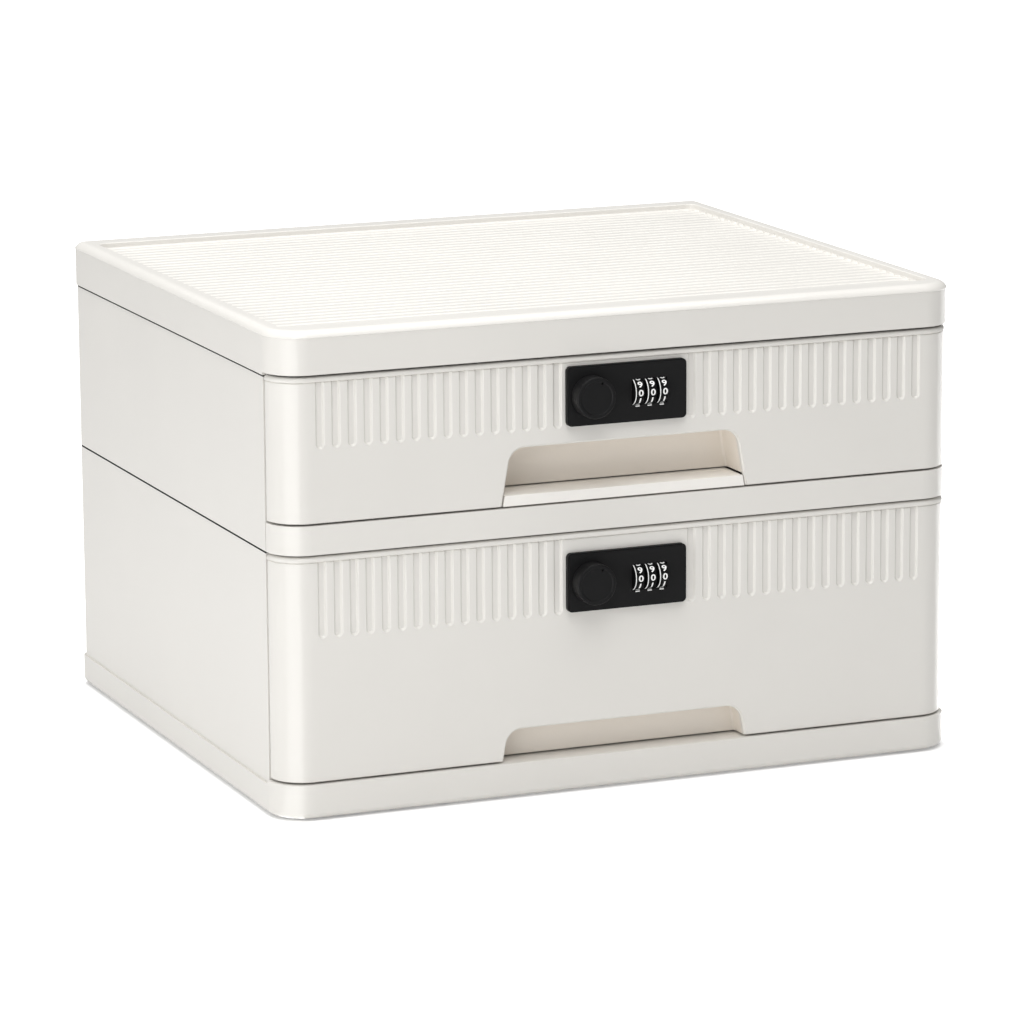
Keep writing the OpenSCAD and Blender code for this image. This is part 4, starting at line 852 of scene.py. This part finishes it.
def build_floor_finish():
    """White paper that glows though it is no lamp: painted light, seen only by the camera and in
    reflections.

    Seen by the camera it glows by 0.25 at the base's outline, rising to 1.0 at 7 mm from it, so the
    floor shows white and only the contact line stays grey, partly the floor's real shadow and
    partly painted shade where the glow is weaker; distance = length of max(|place - middle| - round
    start, 0).
    Mirrored in the shell it glows by direction round the left front corner, counted from the front
    to the left, as a painted reflection: one bright window with straight edges from 19 to 68
    degrees, a dimmer one at the right rear, and dark elsewhere."""
    material = bpy.data.materials.new("floor_white_glow")
    material.use_nodes = True
    material.cycles.emission_sampling = "NONE"
    tree = material.node_tree
    sheet = tree.nodes["Principled BSDF"]
    for label, value in (("Base Color", (0.9, 0.9, 0.9, 1)), ("Roughness", 0.9),
                         ("Specular IOR Level", 0.0), ("Emission Color", (1, 1, 1, 1))):
        sheet.inputs[label].default_value = value
    wire = tree.links.new
    place = tree.nodes.new("ShaderNodeTexCoord")
    # glow seen by the camera, weaker near the base: painted shade at the contact line
    size = add_node(tree, "ShaderNodeVectorMath", operation="ABSOLUTE")
    middle = add_node(tree, "ShaderNodeVectorMath", {1: PLAN_MIDDLE}, operation="SUBTRACT")
    past = add_node(tree, "ShaderNodeVectorMath", {1: ROUND_START}, operation="SUBTRACT")
    outside = add_node(tree, "ShaderNodeVectorMath", {1: (0, 0, 0)}, operation="MAXIMUM")
    length = add_node(tree, "ShaderNodeVectorMath", operation="LENGTH")
    glow = add_node(tree, "ShaderNodeMapRange",
                    {"From Min": 0.012, "From Max": 0.019, "To Min": 0.25, "To Max": 1.0},
                    interpolation_type="SMOOTHSTEP")
    wire(place.outputs["Object"], middle.inputs[0])
    wire(middle.outputs[0], size.inputs[0])
    wire(size.outputs[0], past.inputs[0])
    wire(past.outputs[0], outside.inputs[0])
    wire(outside.outputs[0], length.inputs[0])
    wire(length.outputs["Value"], glow.inputs["Value"])
    # painted reflection: glow by direction round the left front corner, seen only by glossy rays
    corner = add_node(tree, "ShaderNodeVectorMath", {1: PLAN_CORNER}, operation="SUBTRACT")
    axes = tree.nodes.new("ShaderNodeSeparateXYZ")
    left = add_node(tree, "ShaderNodeMath", {1: -1.0}, operation="MULTIPLY")
    front = add_node(tree, "ShaderNodeMath", {1: -1.0}, operation="MULTIPLY")
    around = add_node(tree, "ShaderNodeMath", operation="ARCTAN2")
    share = add_node(tree, "ShaderNodeMapRange", {"From Min": -math.pi, "From Max": math.pi})
    wall = tree.nodes.new("ShaderNodeValToRGB")
    wall.color_ramp.elements.remove(wall.color_ramp.elements[1])
    for degrees, level in PAINTED_REFLECTION:
        turn = (degrees + 180) / 360
        stop = wall.color_ramp.elements.new(turn) if turn else wall.color_ramp.elements[0]
        stop.color = (level, level, level, 1)
    wire(place.outputs["Object"], corner.inputs[0])
    wire(corner.outputs[0], axes.inputs[0])
    wire(axes.outputs["X"], left.inputs[0])
    wire(axes.outputs["Y"], front.inputs[0])
    wire(left.outputs[0], around.inputs[0])
    wire(front.outputs[0], around.inputs[1])
    wire(around.outputs[0], share.inputs["Value"])
    wire(share.outputs[0], wall.inputs["Fac"])
    bright = add_node(tree, "ShaderNodeMath", {1: 10.0}, operation="MULTIPLY")
    wire(wall.outputs["Color"], bright.inputs[0])
    ray = tree.nodes.new("ShaderNodeLightPath")
    mirrored = add_node(tree, "ShaderNodeMath", operation="MULTIPLY")
    seen = add_node(tree, "ShaderNodeMath", operation="MULTIPLY_ADD")
    wire(ray.outputs["Is Glossy Ray"], mirrored.inputs[0])
    wire(bright.outputs[0], mirrored.inputs[1])
    wire(ray.outputs["Is Camera Ray"], seen.inputs[0])
    wire(glow.outputs[0], seen.inputs[1])
    wire(mirrored.outputs[0], seen.inputs[2])
    wire(seen.outputs[0], sheet.inputs["Emission Strength"])
    return material


floor_mesh = bpy.data.meshes.new("floor")
far, under = 9, -0.0004         # half of the floor's width, and its height: just below the feet
floor_corners = [(x, y, under) for x, y in ((-far, -far), (far, -far), (far, far), (-far, far))]
floor_mesh.from_pydata(floor_corners, [], [(0, 1, 2, 3)])
floor_mesh.materials.append(build_floor_finish())
floor = bpy.data.objects.new("floor", floor_mesh)
bpy.context.scene.collection.objects.link(floor)

sky = bpy.data.worlds.new("studio")
bpy.context.scene.world = sky
sky.use_nodes = True
glow = sky.node_tree.nodes["Background"]
glow.inputs["Color"].default_value = (1, 1, 1, 1)
seen = add_node(sky.node_tree, "ShaderNodeLightPath")
level = add_node(sky.node_tree, "ShaderNodeMapRange", {"To Min": 0.27, "To Max": 1.05})
sky.node_tree.links.new(seen.outputs["Is Camera Ray"], level.inputs["Value"])
sky.node_tree.links.new(level.outputs[0], glow.inputs["Strength"])


def soft_box(name, azimuth, elevation, distance, size, watts):
    """A rectangular light aimed at the cabinet; azimuth is counted from the front to the left."""
    az, el = math.radians(azimuth), math.radians(elevation)
    away = Vector((-math.sin(az) * math.cos(el), -math.cos(az) * math.cos(el), math.sin(el)))
    light = bpy.data.lights.new(name, "AREA")
    light.shape, light.size, light.size_y, light.energy = "RECTANGLE", size[0], size[1], watts
    lamp = bpy.data.objects.new(name, light)
    lamp.location = Vector((0, 0, 0.12)) + away * distance
    lamp.rotation_euler = (-away).to_track_quat("-Z", "Y").to_euler()
    bpy.context.scene.collection.objects.link(lamp)


soft_box("ceiling", 0, 89, 1.6, (1.6, 1.6), 24.3)
soft_box("low_window", 48, 8, 1.8, (0.8, 0.6), 4.9)
soft_box("left", 88, 20, 1.8, (1.0, 0.8), 6.2)
soft_box("key", 15, 50, 1.8, (0.9, 0.7), 8)
soft_box("behind", 175, 35, 2.0, (1.4, 0.8), 1.6)

lens = bpy.data.cameras.new("camera")
lens.lens, lens.sensor_width, lens.clip_end = 175.2, 36, 20
camera = bpy.data.objects.new("camera", lens)
bpy.context.scene.collection.objects.link(camera)
heading, roll = math.radians(22.388), math.radians(-0.3266)
ahead = Vector((0.37264, 0.90463, -0.20686))
right = Vector((math.cos(heading), -math.sin(heading), 0))
axes = Matrix((right, right.cross(ahead), -ahead)).transposed().to_4x4()
camera.matrix_world = (Matrix.Translation((-1.0103, -2.45908, 0.67638)) @ axes
                       @ Matrix.Rotation(roll, 4, "Z"))
bpy.context.scene.camera = camera
bpy.context.scene.view_settings.view_transform = "Standard"
